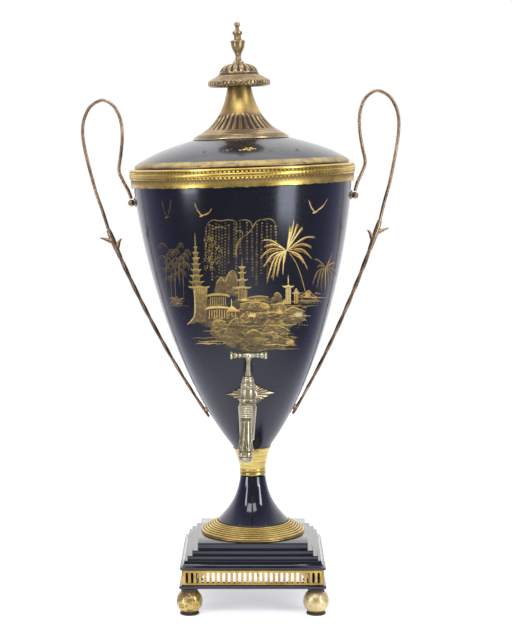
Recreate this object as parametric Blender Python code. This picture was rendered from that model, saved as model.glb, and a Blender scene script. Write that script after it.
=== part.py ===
"""Black japanned hot water urn with gilt mounts, on a square stepped plinth with four ball feet.

Metres, +Z up. The origin lies on the floor under the middle of the object's outline.
The front, with the tap, faces -Y. Feet, plinth and socle stand upright. Everything above
the neck joint leans a little towards -X, as the old solder joint has settled.
Heights in the upper part are measured from the neck joint, along the leaning axis.
"""
import math

import bmesh
import bpy
from mathutils import Vector

# Fits
GAP = 0.0003                      # between two pieces that touch
LOOSE = 0.0006                    # between two pieces that slide
MERGE = 0.000001                  # points nearer than this are one point

# Feet
FOOT_SPREAD = 0.0603              # foot centres from the middle, along X and along Y
FOOT_HEIGHT = 0.0258
FOOT_BALL_R = 0.0124
FOOT_PAD_R = 0.0092
FOOT_PAD_H = 0.0017
FOOT_NECK_R = 0.0078

# Plinth, from the bottom rail up to the top plate
RAIL_HALF = 0.0697                # half of the rail's side
RAIL_HEIGHT = 0.0030
RAIL_WIDTH = 0.0160
GALLERY_HALF = 0.0674
GALLERY_HEIGHT = 0.0142
GALLERY_WALL = 0.0010
SLOTS_PER_SIDE = 26
SLOT_PITCH = 0.0050
SLOT_WIDTH = 0.0026
SLOT_HEIGHT = 0.0102
PLATE_HALF = 0.0525
PLATE_RISE = 0.0059
STEP_TREADS = (0.0051, 0.0045, 0.0029)
STEP_RISES = (0.0041, 0.0038)
MOULDING_REACH = 0.0042           # how far the cove stands out past the lowest tread
MOULDING_COVE = 0.0061
MOULDING_FILLET = 0.0012
MOULDING_FOOT = 0.0014
PLINTH_WALL = 0.0012

# Socle, between plinth and neck joint
SOCLE_HEIGHT = 0.0564             # from the top plate to the neck joint
SOCLE_FOOT_R = 0.0344
SOCLE_TOP_R = 0.0125
SOCLE_WALL = 0.0010
FLANGE_R = 0.0510
FLANGE_HEIGHT = 0.0108
FLANGE_EDGE = 0.0016
FLANGE_RIBS = 5
FLANGE_RIB_DEPTH = 0.0005
FLANGE_WALL = 0.0012

# Lean of the upper part
LEAN = math.radians(1.98)

# Neck collar
COLLAR_HEIGHT = 0.0279
COLLAR_BEAD_R = 0.0130
COLLAR_BEAD_H = 0.0066
COLLAR_TOP_R = 0.0189
COLLAR_WALL = 0.0012

# Body
BODY_FOOT_R = 0.0194
BODY_FOOT_H = 0.0018              # small straight edge above the collar
BODY_SHOULDER_R = 0.1048          # where the rim band starts
BODY_HEIGHT = 0.2560              # from the collar to the rim band's lower edge
BODY_NECK_H = 0.0164              # straight wall inside the rim band
BODY_WALL = 0.0010
BODY_FOOT_PULL = (0.0450, 0.0590) # first Bezier handle of the belly, outward and upward
BODY_TOP_PULL = (0.0080, 0.0860)  # last Bezier handle, inward and downward

# Rim band and lid
BAND_STAND = 0.0023               # the plain part stands out this far from the body's shoulder
BAND_SWELL = 0.0018               # and the bead this far from the plain part
BAND_PLAIN_H = 0.0076
BAND_BEAD_H = 0.0094
BAND_LIP = 0.0033                 # how far the rim turns inward over the body's edge
LID_INSET = 0.0015                # from the body's shoulder in to the lid's edge
LID_EDGE_H = 0.0027
LID_RISE = 0.0232                 # from the lid's edge to its crown
LID_CROWN_R = 0.0451
LID_WALL = 0.0008
LID_SKIRT = 0.0110                # depth of the skirt inside the vessel

# Cone on the lid, dish and knop
CONE_R = 0.0462
CONE_RING_H = 0.0042
CONE_RING_W = 0.0059              # width of the ringed foot outside the flare
CONE_RING_STEPS = (0.0018, 0.0037)  # widths of its upper and lower ledge
CONE_FLUTE_LEDGE = 0.0008         # plain edge between the ringed foot and the flutes
CONE_THROAT_R = 0.0113
CONE_HEIGHT = 0.0489
CONE_WALL = 0.0016
CONE_FLUTES = 18
CONE_FLUTE_DEPTH = 0.0009
CONE_FLUTE_TOP = 0.0232           # height of the fluted zone's upper end
DISH_R = 0.0297
DISH_HEIGHT = 0.0217
DISH_BRIM_H = 0.0066
DISH_DOME_R = 0.0185
DISH_TOP_R = 0.0057
KNOP_HEIGHT = 0.0389
KNOP_VASE_R = 0.0071

# Handles
ROD_R = 0.0016
STEM_R = 0.0023                   # thicker lower stem, at the leaf sheath
HANDLE_TIP_H = 0.0585
HANDLE_SHEATH_H = 0.2440
HANDLE_SHEATH_OUT = 0.0314        # rod axis out from the body's surface at the sheath
HANDLE_TIP_OUT = 0.0029
HANDLE_STEM_BEND = 1.3
# Thorns: out from the stem's axis, root below the leaf sheath, tip above the root
THORNS = (("outer", 0.0113, 0.0125, 0.0053), ("inner", -0.0092, 0.0200, 0.0115))
LUG_DROP = 0.0142                 # lug axis below the body's shoulder
LUG_FLANGE_R = 0.0046
LUG_NECK_R = 0.0026
LUG_BALL_R = 0.0033
LUG_REACH = 0.0075
# Free loop above the leaf sheath: out from the body's shoulder, up from the shoulder
HANDLE_LOOP = (
    (0.0056, -0.0024), (0.0105, 0.0075), (0.0136, 0.0172), (0.0113, 0.0310),
    (0.0093, 0.0460), (0.0092, 0.0590), (0.0115, 0.0698), (0.0166, 0.0790),
    (0.0267, 0.0844), (0.0382, 0.0788), (0.0445, 0.0680), (0.0468, 0.0570),
    (0.0464, 0.0450), (0.0442, 0.0310), (0.0407, 0.0140), (0.0362, -0.0050),
    (0.0308, -0.0225),
)

# Tap
TAP_H = 0.0877                    # height of the inlet axis
TAP_SIDE = 0.0010                 # inlet axis to the right of the body's axis
TAP_YAW = math.radians(-4.0)
TAP_ROLL = math.radians(3.1)
TAIL_R = 0.0046
TAIL_BORE_R = 0.0026
TAIL_INSIDE = 0.0060              # length of the tail inside the vessel
BARREL_OUT = 0.0910               # barrel axis in front of the body's axis
BARREL_R = 0.0067
BARREL_TOP = 0.0137
BARREL_BOTTOM = 0.0369
BARREL_RING_UP = 0.0006           # middle of the barrel's ring, above the inlet axis
BARREL_RING_STAND = 0.0010
PLUG_TOP_R = 0.0047
PLUG_BOTTOM_R = 0.0037
SPOUT_OUT = 0.0142                # spout axis in front of the barrel axis
SPOUT_TOP = 0.0005                # spout's round top below the inlet axis
SPOUT_DROP = 0.0548               # outlet below the inlet axis
SPOUT_NECK_R = 0.0050
SPOUT_FLARE_R = 0.0075
SPOUT_BORE_R = 0.0034
NOZZLE_HEIGHT = 0.0115            # ringed nozzle at the spout's end
BRIDGE_DROP = 0.0060
BRIDGE_R = 0.0045
KEY_BAR_H = 0.0419
KEY_BAR_HALF = 0.0170
KEY_KNOB_R = 0.0036
KEY_STEM_R = 0.0018
KEY_NUT_H = 0.0026                # end of the plug below the barrel
KEY_REST = math.radians(12.0)
PLATE_STAR_HALF_W = 0.0249
PLATE_STAR_HALF_H = 0.0164
PLATE_STAR_RAYS = 14
PLATE_STAR_THICK = 0.0012
PLATE_STAR_BOSS = 0.0016
PLATE_STAR_RIDGE = 0.0005
PLATE_STAR_POWER = 0.80           # below one: sides of the lozenge curve inward

# Facets
ROUND_BIG = 28
ROUND_FOOT = 24
ROUND_SMALL = 20
ROUND_TINY = 12
ROUND_BORE = 8

# Levels that follow
RAIL_Z = FOOT_HEIGHT + GAP
GALLERY_Z = RAIL_Z + RAIL_HEIGHT + GAP
PLINTH_Z = GALLERY_Z + GALLERY_HEIGHT + GAP
MOULDING_TOP_Z = PLINTH_Z + MOULDING_FOOT + MOULDING_FILLET + MOULDING_COVE
PLATE_Z = MOULDING_TOP_Z + sum(STEP_RISES) + PLATE_RISE
NECK_Z = PLATE_Z + SOCLE_HEIGHT
BODY_H = COLLAR_HEIGHT + GAP
SHOULDER_H = BODY_H + BODY_HEIGHT
BODY_TOP_H = SHOULDER_H + BODY_NECK_H
BAND_PLAIN_R = BODY_SHOULDER_R + BAND_STAND
BAND_BEAD_R = BAND_PLAIN_R + BAND_SWELL
LID_R = BODY_SHOULDER_R - LID_INSET
LUG_H = SHOULDER_H - LUG_DROP
BAND_TOP_H = SHOULDER_H + BAND_PLAIN_H + BAND_BEAD_H + GAP
LID_H = BAND_TOP_H + GAP
CROWN_H = LID_H + LID_EDGE_H + LID_RISE
CONE_H = CROWN_H + GAP
DISH_H = CONE_H + CONE_HEIGHT + GAP
KNOP_H = DISH_H + DISH_HEIGHT + GAP


def material(name, colour, roughness, metallic):
    made = bpy.data.materials.new(name)
    made.use_nodes = True
    shader = made.node_tree.nodes["Principled BSDF"]
    shader.inputs["Base Color"].default_value = (*colour, 1.0)
    shader.inputs["Roughness"].default_value = roughness
    shader.inputs["Metallic"].default_value = metallic
    return made


def empty(name, parent=None, location=(0, 0, 0), rotation=(0, 0, 0)):
    made = bpy.data.objects.new(name, None)
    bpy.context.scene.collection.objects.link(made)
    made.parent = parent
    made.location = location
    made.rotation_euler = rotation
    return made


def place(name, bm, look, parent=None, location=(0, 0, 0), rotation=(0, 0, 0)):
    """Make an object of the bmesh, with its faces out and round parts shaded smooth."""
    bmesh.ops.recalc_face_normals(bm, faces=bm.faces)
    mesh = bpy.data.meshes.new(name)
    bm.to_mesh(mesh)
    bm.free()
    mesh.shade_smooth()
    mesh.set_sharp_from_angle(angle=math.radians(35))
    mesh.materials.append(look)
    made = bpy.data.objects.new(name, mesh)
    bpy.context.scene.collection.objects.link(made)
    made.parent = parent
    made.location = location
    made.rotation_euler = rotation
    return made


def as_tool(made):
    made.hide_render = True
    made.display_type = "WIRE"
    return made


def combine(target, tool, operation):
    step = target.modifiers.new(operation.title() + " " + tool.name, "BOOLEAN")
    step.operation = operation
    step.object = tool
    step.solver = "EXACT"


def turned(outline, segments, phase=0.0):
    """Spin an outline of (radius, height) points about Z.

    An outline whose ends lie on the axis is a solid; any other outline is joined end to start.
    """
    bm = bmesh.new()
    across = Vector((math.cos(phase), math.sin(phase), 0))
    verts = [bm.verts.new(across * radius + Vector((0, 0, height))) for radius, height in outline]
    edges = [bm.edges.new(pair) for pair in zip(verts, verts[1:])]
    if outline[0][0] > 0 or outline[-1][0] > 0:
        edges.append(bm.edges.new((verts[-1], verts[0])))
    bmesh.ops.spin(bm, geom=verts + edges, axis=(0, 0, 1), cent=(0, 0, 0), angle=math.tau, steps=segments)
    bmesh.ops.remove_doubles(bm, verts=bm.verts, dist=MERGE)
    return bm


def squared(outline):
    """The same with four sides: the outline's radius is half of the square's side."""
    corner = math.sqrt(2.0)
    return turned([(half * corner, height) for half, height in outline], 4, math.radians(45))


def bezier(start, start_pull, end_pull, end, steps):
    """Points of a cubic curve; each pull is an absolute control point."""
    points = []
    for step in range(steps + 1):
        t = step / steps
        s = 1.0 - t
        weights = (s ** 3, 3 * s * s * t, 3 * s * t * t, t ** 3)
        controls = (start, start_pull, end_pull, end)
        points.append(tuple(sum(w * c[axis] for w, c in zip(weights, controls)) for axis in (0, 1)))
    return points


def rounded(points, steps):
    """A smooth curve through the given points."""
    padded = [points[0], *points, points[-1]]
    curve = []
    for before, start, end, after in zip(padded, padded[1:], padded[2:], padded[3:]):
        for step in range(steps):
            t = step / steps
            curve.append(tuple(
                0.5 * (2 * b + (c - a) * t + (2 * a - 5 * b + 4 * c - d) * t * t
                       + (3 * b - a - 3 * c + d) * t ** 3)
                for a, b, c, d in zip(before, start, end, after)))
    curve.append(points[-1])
    return curve


def inset_curve(points, depth):
    """The same curve, moved by depth to the side that faces the axis and the outline's hollow."""
    moved = []
    for index, (radius, height) in enumerate(points):
        before = points[max(index - 1, 0)]
        after = points[min(index + 1, len(points) - 1)]
        along = Vector((after[0] - before[0], after[1] - before[1])).normalized()
        moved.append((radius - along.y * depth, height + along.x * depth))
    return moved


def body_curve(steps):
    start = (BODY_FOOT_R, BODY_H + BODY_FOOT_H)
    end = (BODY_SHOULDER_R, SHOULDER_H)
    return bezier(
        start,
        (start[0] + BODY_FOOT_PULL[0], start[1] + BODY_FOOT_PULL[1]),
        (end[0] - BODY_TOP_PULL[0], end[1] - BODY_TOP_PULL[1]),
        end, steps)


def body_radius(height):
    """Outer radius of the body at a height, between the collar and the shoulder."""
    curve = body_curve(200)
    if height >= curve[-1][1]:
        return BODY_SHOULDER_R
    for (r0, h0), (r1, h1) in zip(curve, curve[1:]):
        if h0 <= height <= h1:
            return r0 + (r1 - r0) * (height - h0) / (h1 - h0)
    return BODY_FOOT_R


def body_slope(height):
    """Angle of the body's wall out from upright."""
    step = 0.001
    return math.atan2(body_radius(height + step) - body_radius(height - step), 2 * step)


def build_feet(ground, gilt):
    arc_bottom = math.asin((FOOT_PAD_H - (FOOT_HEIGHT / 2 - GAP)) / FOOT_BALL_R)
    arc_top = math.acos(FOOT_NECK_R / FOOT_BALL_R)
    centre = FOOT_HEIGHT / 2 - GAP
    steps = 4
    ball = []
    for step in range(steps + 1):
        angle = arc_bottom + (arc_top - arc_bottom) * step / steps
        ball.append((FOOT_BALL_R * math.cos(angle), centre + FOOT_BALL_R * math.sin(angle)))
    outline = [(0, 0), (FOOT_PAD_R, 0), (FOOT_PAD_R, FOOT_PAD_H), *ball,
               (FOOT_NECK_R, FOOT_HEIGHT), (0, FOOT_HEIGHT)]
    for end, sy in (("front", -1), ("rear", 1)):
        for side, sx in (("left", -1), ("right", 1)):
            place(f"foot_{end}_{side}", turned(outline, ROUND_TINY), gilt, ground,
                  (sx * FOOT_SPREAD, sy * FOOT_SPREAD, 0))


def build_rail(ground, black):
    inner = RAIL_HALF - RAIL_WIDTH
    round_off = RAIL_HEIGHT / 4
    outline = [
        (inner, RAIL_Z), (RAIL_HALF - round_off, RAIL_Z), (RAIL_HALF, RAIL_Z + round_off),
        (RAIL_HALF, RAIL_Z + RAIL_HEIGHT - round_off), (RAIL_HALF - round_off, RAIL_Z + RAIL_HEIGHT),
        (inner, RAIL_Z + RAIL_HEIGHT),
    ]
    place("base_rail", squared(outline), black, ground)


def build_gallery(ground, gilt):
    """Thin upright band round the plinth, pierced by a row of upright slots on each side."""
    inner = GALLERY_HALF - GALLERY_WALL
    top = GALLERY_Z + GALLERY_HEIGHT
    outline = [(inner, GALLERY_Z), (GALLERY_HALF, GALLERY_Z), (GALLERY_HALF, top), (inner, top)]
    gallery = place("gallery", squared(outline), gilt, ground)

    comb = bmesh.new()
    middle = GALLERY_Z + GALLERY_HEIGHT / 2
    for quarter in range(4):
        facing = math.radians(90) * quarter
        outward = Vector((math.cos(facing), math.sin(facing), 0))
        along = Vector((-math.sin(facing), math.cos(facing), 0))
        for slot in range(SLOTS_PER_SIDE):
            offset = (slot - (SLOTS_PER_SIDE - 1) / 2) * SLOT_PITCH
            bar = bmesh.ops.create_cube(comb, size=1.0)["verts"]
            depth = GALLERY_WALL * 3
            for vert in bar:
                x, y, z = vert.co
                vert.co = (outward * (GALLERY_HALF - GALLERY_WALL / 2 + x * depth)
                           + along * (offset + y * SLOT_WIDTH) + Vector((0, 0, middle + z * SLOT_HEIGHT)))
    tool = as_tool(place("gallery_slots", comb, gilt, ground))
    combine(gallery, tool, "DIFFERENCE")


def plinth_levels():
    """Half-side and height of each tread, from the top plate down."""
    halves = [PLATE_HALF]
    for tread in STEP_TREADS:
        halves.append(halves[-1] + tread)
    heights = [PLATE_Z, PLATE_Z - PLATE_RISE]
    for rise in STEP_RISES:
        heights.append(heights[-1] - rise)
    return halves, heights


def build_plinth(ground, black):
    """Stepped square plinth of thin sheet, open below, with a cove under the lowest tread."""
    halves, heights = plinth_levels()
    outer = [(0, PLATE_Z)]
    inner = [(0, PLATE_Z - PLINTH_WALL)]
    for level, (half, height) in enumerate(zip(halves, heights)):
        outer.append((half, height))
        if level < len(halves) - 1:
            outer.append((half, heights[level + 1]))
            inner.append((half - PLINTH_WALL, height - PLINTH_WALL))
            inner.append((half - PLINTH_WALL, heights[level + 1] - PLINTH_WALL))
    reach = halves[-1] + MOULDING_REACH
    cove_steps = 4
    for step in range(1, cove_steps + 1):
        angle = math.radians(90) * step / cove_steps
        outer.append((reach - MOULDING_REACH * math.cos(angle),
                      MOULDING_TOP_Z - MOULDING_COVE * math.sin(angle)))
    outer.append((reach, PLINTH_Z + MOULDING_FOOT))
    outer.append((GALLERY_HALF + GALLERY_WALL / 2, PLINTH_Z))
    seat = GALLERY_HALF - 2 * GALLERY_WALL
    skirt = halves[-1] - PLINTH_WALL
    inner.append((skirt, heights[-1] - PLINTH_WALL))
    inner.append((min(skirt, seat), PLINTH_Z))
    place("plinth", squared(outer + inner[::-1]), black, ground)


def build_socle(ground, black, gilt):
    """Black trumpet on a spreading gilt flange of concentric ribs."""
    flange_foot = PLATE_Z + GAP
    flange_top = PLATE_Z + FLANGE_HEIGHT
    landing = SOCLE_FOOT_R - SOCLE_WALL
    start = Vector((SOCLE_FOOT_R + GAP, flange_top))
    end = Vector((FLANGE_R - FLANGE_RIB_DEPTH, flange_foot + FLANGE_EDGE))
    across = (end - start).normalized()
    away = Vector((-across.y, across.x))
    ribs = []
    for step in range(2 * FLANGE_RIBS + 1):
        lift = FLANGE_RIB_DEPTH if step % 2 else 0.0
        ribs.append(tuple(start.lerp(end, step / (2 * FLANGE_RIBS)) + away * lift))
    outline = [(landing, flange_top), *ribs, (FLANGE_R, flange_foot),
               (FLANGE_R - 2 * FLANGE_WALL, flange_foot), (landing, flange_top - 2 * FLANGE_WALL)]
    place("foot_flange", turned(outline, ROUND_FOOT), gilt, ground)

    foot = flange_top + GAP
    top = NECK_Z - GAP - SOCLE_TOP_R * math.sin(LEAN)
    tall = top - foot
    swell = SOCLE_FOOT_R - SOCLE_TOP_R
    outer = bezier(
        (SOCLE_FOOT_R, foot + tall * 0.03), (SOCLE_FOOT_R - swell * 0.63, foot + tall * 0.34),
        (SOCLE_TOP_R + swell * 0.13, foot + tall * 0.55), (SOCLE_TOP_R, top), 6)
    inner = [(radius - SOCLE_WALL, height) for radius, height in outer[1:-1:2]]
    inner.append((SOCLE_TOP_R - SOCLE_WALL, top - SOCLE_WALL))
    outline = [(0, top), *outer[::-1], (SOCLE_FOOT_R, foot), (SOCLE_FOOT_R - SOCLE_WALL, foot),
               *inner, (0, top - SOCLE_WALL)]
    place("socle", turned(outline, ROUND_SMALL), black, ground)


def build_collar(upper, gilt):
    """Gilt neck: a round bead below and a concave taper up to the body."""
    hollow = 0.1 * COLLAR_BEAD_H
    bead = [(COLLAR_BEAD_R + hollow * (math.sin(math.pi * step / 3) - 1), COLLAR_BEAD_H * step / 3)
            for step in range(4)]
    rise = COLLAR_HEIGHT - COLLAR_BEAD_H
    flare = COLLAR_TOP_R - COLLAR_BEAD_R
    taper = bezier(
        (COLLAR_BEAD_R, COLLAR_BEAD_H + 0.1 * rise),
        (COLLAR_BEAD_R + 0.14 * flare, COLLAR_BEAD_H + 0.35 * rise),
        (COLLAR_BEAD_R + 0.63 * flare, COLLAR_BEAD_H + 0.79 * rise), (COLLAR_TOP_R, COLLAR_HEIGHT), 3)
    outline = [*bead, *taper, (COLLAR_TOP_R - COLLAR_WALL, COLLAR_HEIGHT),
               (COLLAR_BEAD_R - 2 * COLLAR_WALL, COLLAR_BEAD_H), (COLLAR_BEAD_R - 2 * COLLAR_WALL, 0)]
    place("neck_collar", turned(outline, ROUND_SMALL), gilt, upper)


def build_body(upper, tap_hole, black):
    """Thin-walled vessel, open at the top, with a hole in its wall for the tap's tail."""
    outer = body_curve(9)
    inner = inset_curve(body_curve(7), BODY_WALL)
    floor = BODY_H + BODY_FOOT_H + BODY_WALL
    inner = [point for point in inner if point[1] > floor + BODY_WALL]
    outline = [
        (0, BODY_H), (BODY_FOOT_R - BODY_WALL / 2, BODY_H), *outer, (BODY_SHOULDER_R, BODY_TOP_H),
        (BODY_SHOULDER_R - BODY_WALL, BODY_TOP_H), *inner[::-1],
        (BODY_FOOT_R - BODY_WALL, floor), (0, floor),
    ]
    body = place("body", turned(outline, ROUND_BIG), black, upper)
    combine(body, tap_hole, "DIFFERENCE")


def build_band(upper, gilt):
    """Gilt band round the rim: plain below, a swelling bead above, turned in over the body's edge."""
    seat = BODY_SHOULDER_R + GAP
    step_h = SHOULDER_H + BAND_PLAIN_H
    bead_top = step_h + BAND_BEAD_H
    lip = BODY_SHOULDER_R - BAND_LIP
    outline = [
        (seat, SHOULDER_H), (BAND_PLAIN_R, SHOULDER_H), (BAND_PLAIN_R, step_h),
        (BAND_BEAD_R - 0.3 * BAND_SWELL, step_h + 0.05 * BAND_BEAD_H),
        (BAND_BEAD_R, step_h + 0.25 * BAND_BEAD_H), (BAND_BEAD_R, step_h + 0.75 * BAND_BEAD_H),
        (BAND_BEAD_R - 0.5 * BAND_SWELL, bead_top - 0.05 * BAND_BEAD_H),
        (BAND_PLAIN_R - 0.5 * BAND_SWELL, BAND_TOP_H), (lip, BAND_TOP_H),
        (lip, BODY_TOP_H + GAP), (seat, BODY_TOP_H + GAP),
    ]
    place("rim_band", turned(outline, ROUND_BIG), gilt, upper)


def build_lid(upper, black):
    """Low domed lid that rests on the rim and drops a skirt inside it."""
    edge_top = LID_H + LID_EDGE_H
    run = LID_R - LID_CROWN_R
    dome = bezier(
        (LID_R - LID_WALL, edge_top), (LID_R - 0.28 * run, edge_top + 0.51 * LID_RISE),
        (LID_CROWN_R + 0.33 * run, edge_top + 0.76 * LID_RISE), (LID_CROWN_R, CROWN_H), 5)
    hollow = [(radius - 0.4 * LID_WALL, height - LID_WALL) for radius, height in dome]
    skirt_r = BODY_SHOULDER_R - BAND_LIP - LOOSE
    skirt_h = LID_H - LID_SKIRT
    outline = [
        (0, CROWN_H), *dome[::-1], (LID_R, LID_H + 0.5 * LID_EDGE_H), (LID_R - 0.3 * LID_WALL, LID_H),
        (skirt_r, LID_H), (skirt_r, skirt_h), (skirt_r - LID_WALL, skirt_h),
        (skirt_r - LID_WALL, edge_top - LID_WALL),
        *[point for point in hollow if point[0] < skirt_r - 2 * LID_WALL], (0, CROWN_H - LID_WALL),
    ]
    place("lid", turned(outline, ROUND_BIG), black, upper)


def build_cone(upper, brass):
    """Hollow brass trumpet on the lid: a ringed foot, a fluted flare and a plain throat."""
    ring_top = CONE_H + CONE_RING_H
    throat_top = CONE_H + CONE_HEIGHT
    waist = CONE_R - CONE_RING_W
    spread = waist - CONE_THROAT_R
    tall = throat_top - ring_top
    flare = bezier(
        (waist, ring_top), (waist - 0.63 * spread, ring_top + 0.20 * tall),
        (CONE_THROAT_R + 0.10 * spread, ring_top + 0.60 * tall), (CONE_THROAT_R, throat_top), 7)
    inner = [(radius - CONE_WALL, height) for radius, height in flare[1:-1:2]]
    third = CONE_RING_H / 3
    upper_ledge, lower_ledge = CONE_RING_STEPS
    outline = [
        (0, throat_top), *flare[::-1], (waist + upper_ledge, ring_top - third),
        (waist + lower_ledge, CONE_H + third), (CONE_R, CONE_H + third / 2), (CONE_R, CONE_H),
        (waist - CONE_WALL, CONE_H),
        *inner, (CONE_THROAT_R - CONE_WALL, throat_top - CONE_WALL), (0, throat_top - CONE_WALL),
    ]
    bm = turned(outline, 2 * CONE_FLUTES)
    low = ring_top + CONE_FLUTE_LEDGE
    high = CONE_H + CONE_FLUTE_TOP
    curve = [(height, radius) for radius, height in flare]
    for vert in bm.verts:
        radius = math.hypot(vert.co.x, vert.co.y)
        if not low < vert.co.z < high:
            continue
        surface = max(r for h, r in curve if abs(h - vert.co.z) < 10 * MERGE)
        if radius < surface - CONE_WALL / 2:
            continue
        turn = math.atan2(vert.co.y, vert.co.x) / math.tau * CONE_FLUTES
        if abs(turn - round(turn)) > 0.25:
            vert.co.xy *= (radius - CONE_FLUTE_DEPTH) / radius
    place("lid_cone", bm, brass, upper)


def build_finial(upper, brass):
    """Dished cap with a thick brim and a small dome, and above it a vase-shaped knop."""
    brim_top = DISH_H + DISH_BRIM_H
    rib = (DISH_R - DISH_DOME_R) / 6
    dome_h = DISH_H + 0.56 * DISH_HEIGHT
    dome_foot = dome_h - brim_top
    dome_rise = DISH_H + DISH_HEIGHT - dome_h
    dome = []
    steps = 3
    for step in range(steps + 1):
        angle = math.radians(80) * step / steps
        radius = DISH_TOP_R + (DISH_DOME_R - DISH_TOP_R) * math.cos(angle)
        dome.append((radius, dome_h + dome_rise * 0.97 * math.sin(angle) / math.sin(math.radians(80))))
    outline = [
        (0, DISH_H), (0.37 * DISH_R, DISH_H), (0.44 * DISH_R, DISH_H + 0.2 * DISH_BRIM_H),
        (0.89 * DISH_R, DISH_H + 0.1 * DISH_BRIM_H), (0.94 * DISH_R, DISH_H - 0.1 * DISH_BRIM_H),
        (0.985 * DISH_R, DISH_H + 0.12 * DISH_BRIM_H), (DISH_R, DISH_H + 0.3 * DISH_BRIM_H),
        (DISH_R, DISH_H + 0.72 * DISH_BRIM_H), (DISH_R - rib, brim_top),
        (DISH_R - 3 * rib, brim_top + 0.14 * dome_foot), (DISH_R - 4 * rib, brim_top + 0.43 * dome_foot),
        (DISH_R - 4.4 * rib, brim_top + 0.61 * dome_foot), (DISH_R - 5 * rib, brim_top + 0.69 * dome_foot),
        (DISH_R - 5.4 * rib, brim_top + 0.89 * dome_foot),
        *dome, (DISH_TOP_R, DISH_H + DISH_HEIGHT), (0, DISH_H + DISH_HEIGHT),
    ]
    place("finial_dish", turned(outline, ROUND_SMALL), brass, upper)

    # Shares of the knop's own radius and height, bottom to top
    shape = (
        (0.78, 0.0), (0.74, 0.03), (0.50, 0.08), (0.47, 0.14), (0.62, 0.22), (0.85, 0.31), (0.95, 0.42),
        (1.0, 0.50), (0.87, 0.54), (0.48, 0.59), (0.46, 0.62), (0.66, 0.68), (0.65, 0.72), (0.33, 0.78),
        (0.41, 0.85), (0.38, 0.93), (0.22, 0.98),
    )
    outline = [(0, KNOP_H), *[(r * KNOP_VASE_R, KNOP_H + h * KNOP_HEIGHT) for r, h in shape],
               (0, KNOP_H + KNOP_HEIGHT)]
    place("finial_knop", turned(outline, ROUND_TINY), brass, upper)


def swept(route, sides):
    """A round rod along (out, up, radius) stations in the XZ plane, with closed ends."""
    bm = bmesh.new()
    rings = []
    for index, (out, up, radius) in enumerate(route):
        before = route[max(index - 1, 0)]
        after = route[min(index + 1, len(route) - 1)]
        along = Vector((after[0] - before[0], 0, after[1] - before[1])).normalized()
        side = Vector((along.z, 0, -along.x))
        centre = Vector((out, 0, up))
        ring = []
        for corner in range(sides):
            angle = math.tau * (corner + 0.5) / sides
            spoke = side * math.cos(angle) + Vector((0, math.sin(angle), 0))
            ring.append(bm.verts.new(centre + spoke * radius))
        rings.append(ring)
    for low, high in zip(rings, rings[1:]):
        for corner in range(sides):
            following = (corner + 1) % sides
            bm.faces.new((low[corner], low[following], high[following], high[corner]))
    bm.faces.new(rings[0][::-1])
    bm.faces.new(rings[-1])
    return bm


def handle_route():
    """Stations of the handle, from the lug round the loop and down the stem to its tip."""
    lug_out = body_radius(LUG_H) + GAP + LUG_REACH - LUG_BALL_R
    first = (lug_out, LUG_H + LUG_BALL_R + GAP)
    loop = [(BODY_SHOULDER_R + out, SHOULDER_H + up) for out, up in HANDLE_LOOP]
    sheath = (body_radius(HANDLE_SHEATH_H) + HANDLE_SHEATH_OUT, HANDLE_SHEATH_H)
    upper_run = [(out, up, ROD_R) for out, up in rounded([first, *loop, sheath], 2)]
    steps = 10
    return upper_run + [stem_station(1.0 - step / steps) for step in range(1, steps + 1)]


def stem_station(share):
    """Axis and radius of the lower stem, from its tip (0) to the leaf sheath (1)."""
    height = HANDLE_TIP_H + (HANDLE_SHEATH_H - HANDLE_TIP_H) * share
    away = HANDLE_TIP_OUT + (HANDLE_SHEATH_OUT - HANDLE_TIP_OUT) * share ** HANDLE_STEM_BEND
    return body_radius(height) + away, height, ROD_R + (STEM_R - ROD_R) * share


def build_handles(upper, bronze, brass):
    """A rod handle and its upper lug on each side of the body."""
    slope = body_slope(LUG_H)
    lug_outline = [
        (0, 0), (LUG_FLANGE_R, 0), (LUG_FLANGE_R, 0.14 * LUG_REACH), (LUG_NECK_R, 0.24 * LUG_REACH),
        (LUG_NECK_R, LUG_REACH - 1.6 * LUG_BALL_R), (LUG_BALL_R, LUG_REACH - LUG_BALL_R),
        (0.7 * LUG_BALL_R, LUG_REACH - 0.3 * LUG_BALL_R), (0, LUG_REACH),
    ]
    route = handle_route()
    for side, sign in (("left", -1), ("right", 1)):
        mirrored = [(sign * out, up, radius) for out, up, radius in route]
        handle = place(f"handle_{side}", swept(mirrored, 6), bronze, upper)
        for thorn, reach, root_drop, rise in THORNS:
            spike = []
            # Shares of the thorn's reach, of its rise and of the stem's radius, root to tip
            for out, up, thick in ((0, 0, 0.8), (0.28, 0.42, 0.9), (0.60, 0.75, 0.62), (1.0, 1.0, 0.25)):
                height = HANDLE_SHEATH_H - root_drop + rise * up
                axis_out = stem_station((height - HANDLE_TIP_H) / (HANDLE_SHEATH_H - HANDLE_TIP_H))[0]
                spike.append((sign * (axis_out + reach * out), height, thick * STEM_R))
            tool = as_tool(place(f"thorn_{side}_{thorn}", swept(spike, 5), bronze, upper))
            combine(handle, tool, "UNION")
        place(f"handle_lug_{side}", turned(lug_outline, 8), brass, upper,
              (sign * (body_radius(LUG_H) + GAP), 0, LUG_H), (0, sign * (math.radians(90) + slope), 0))


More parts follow.
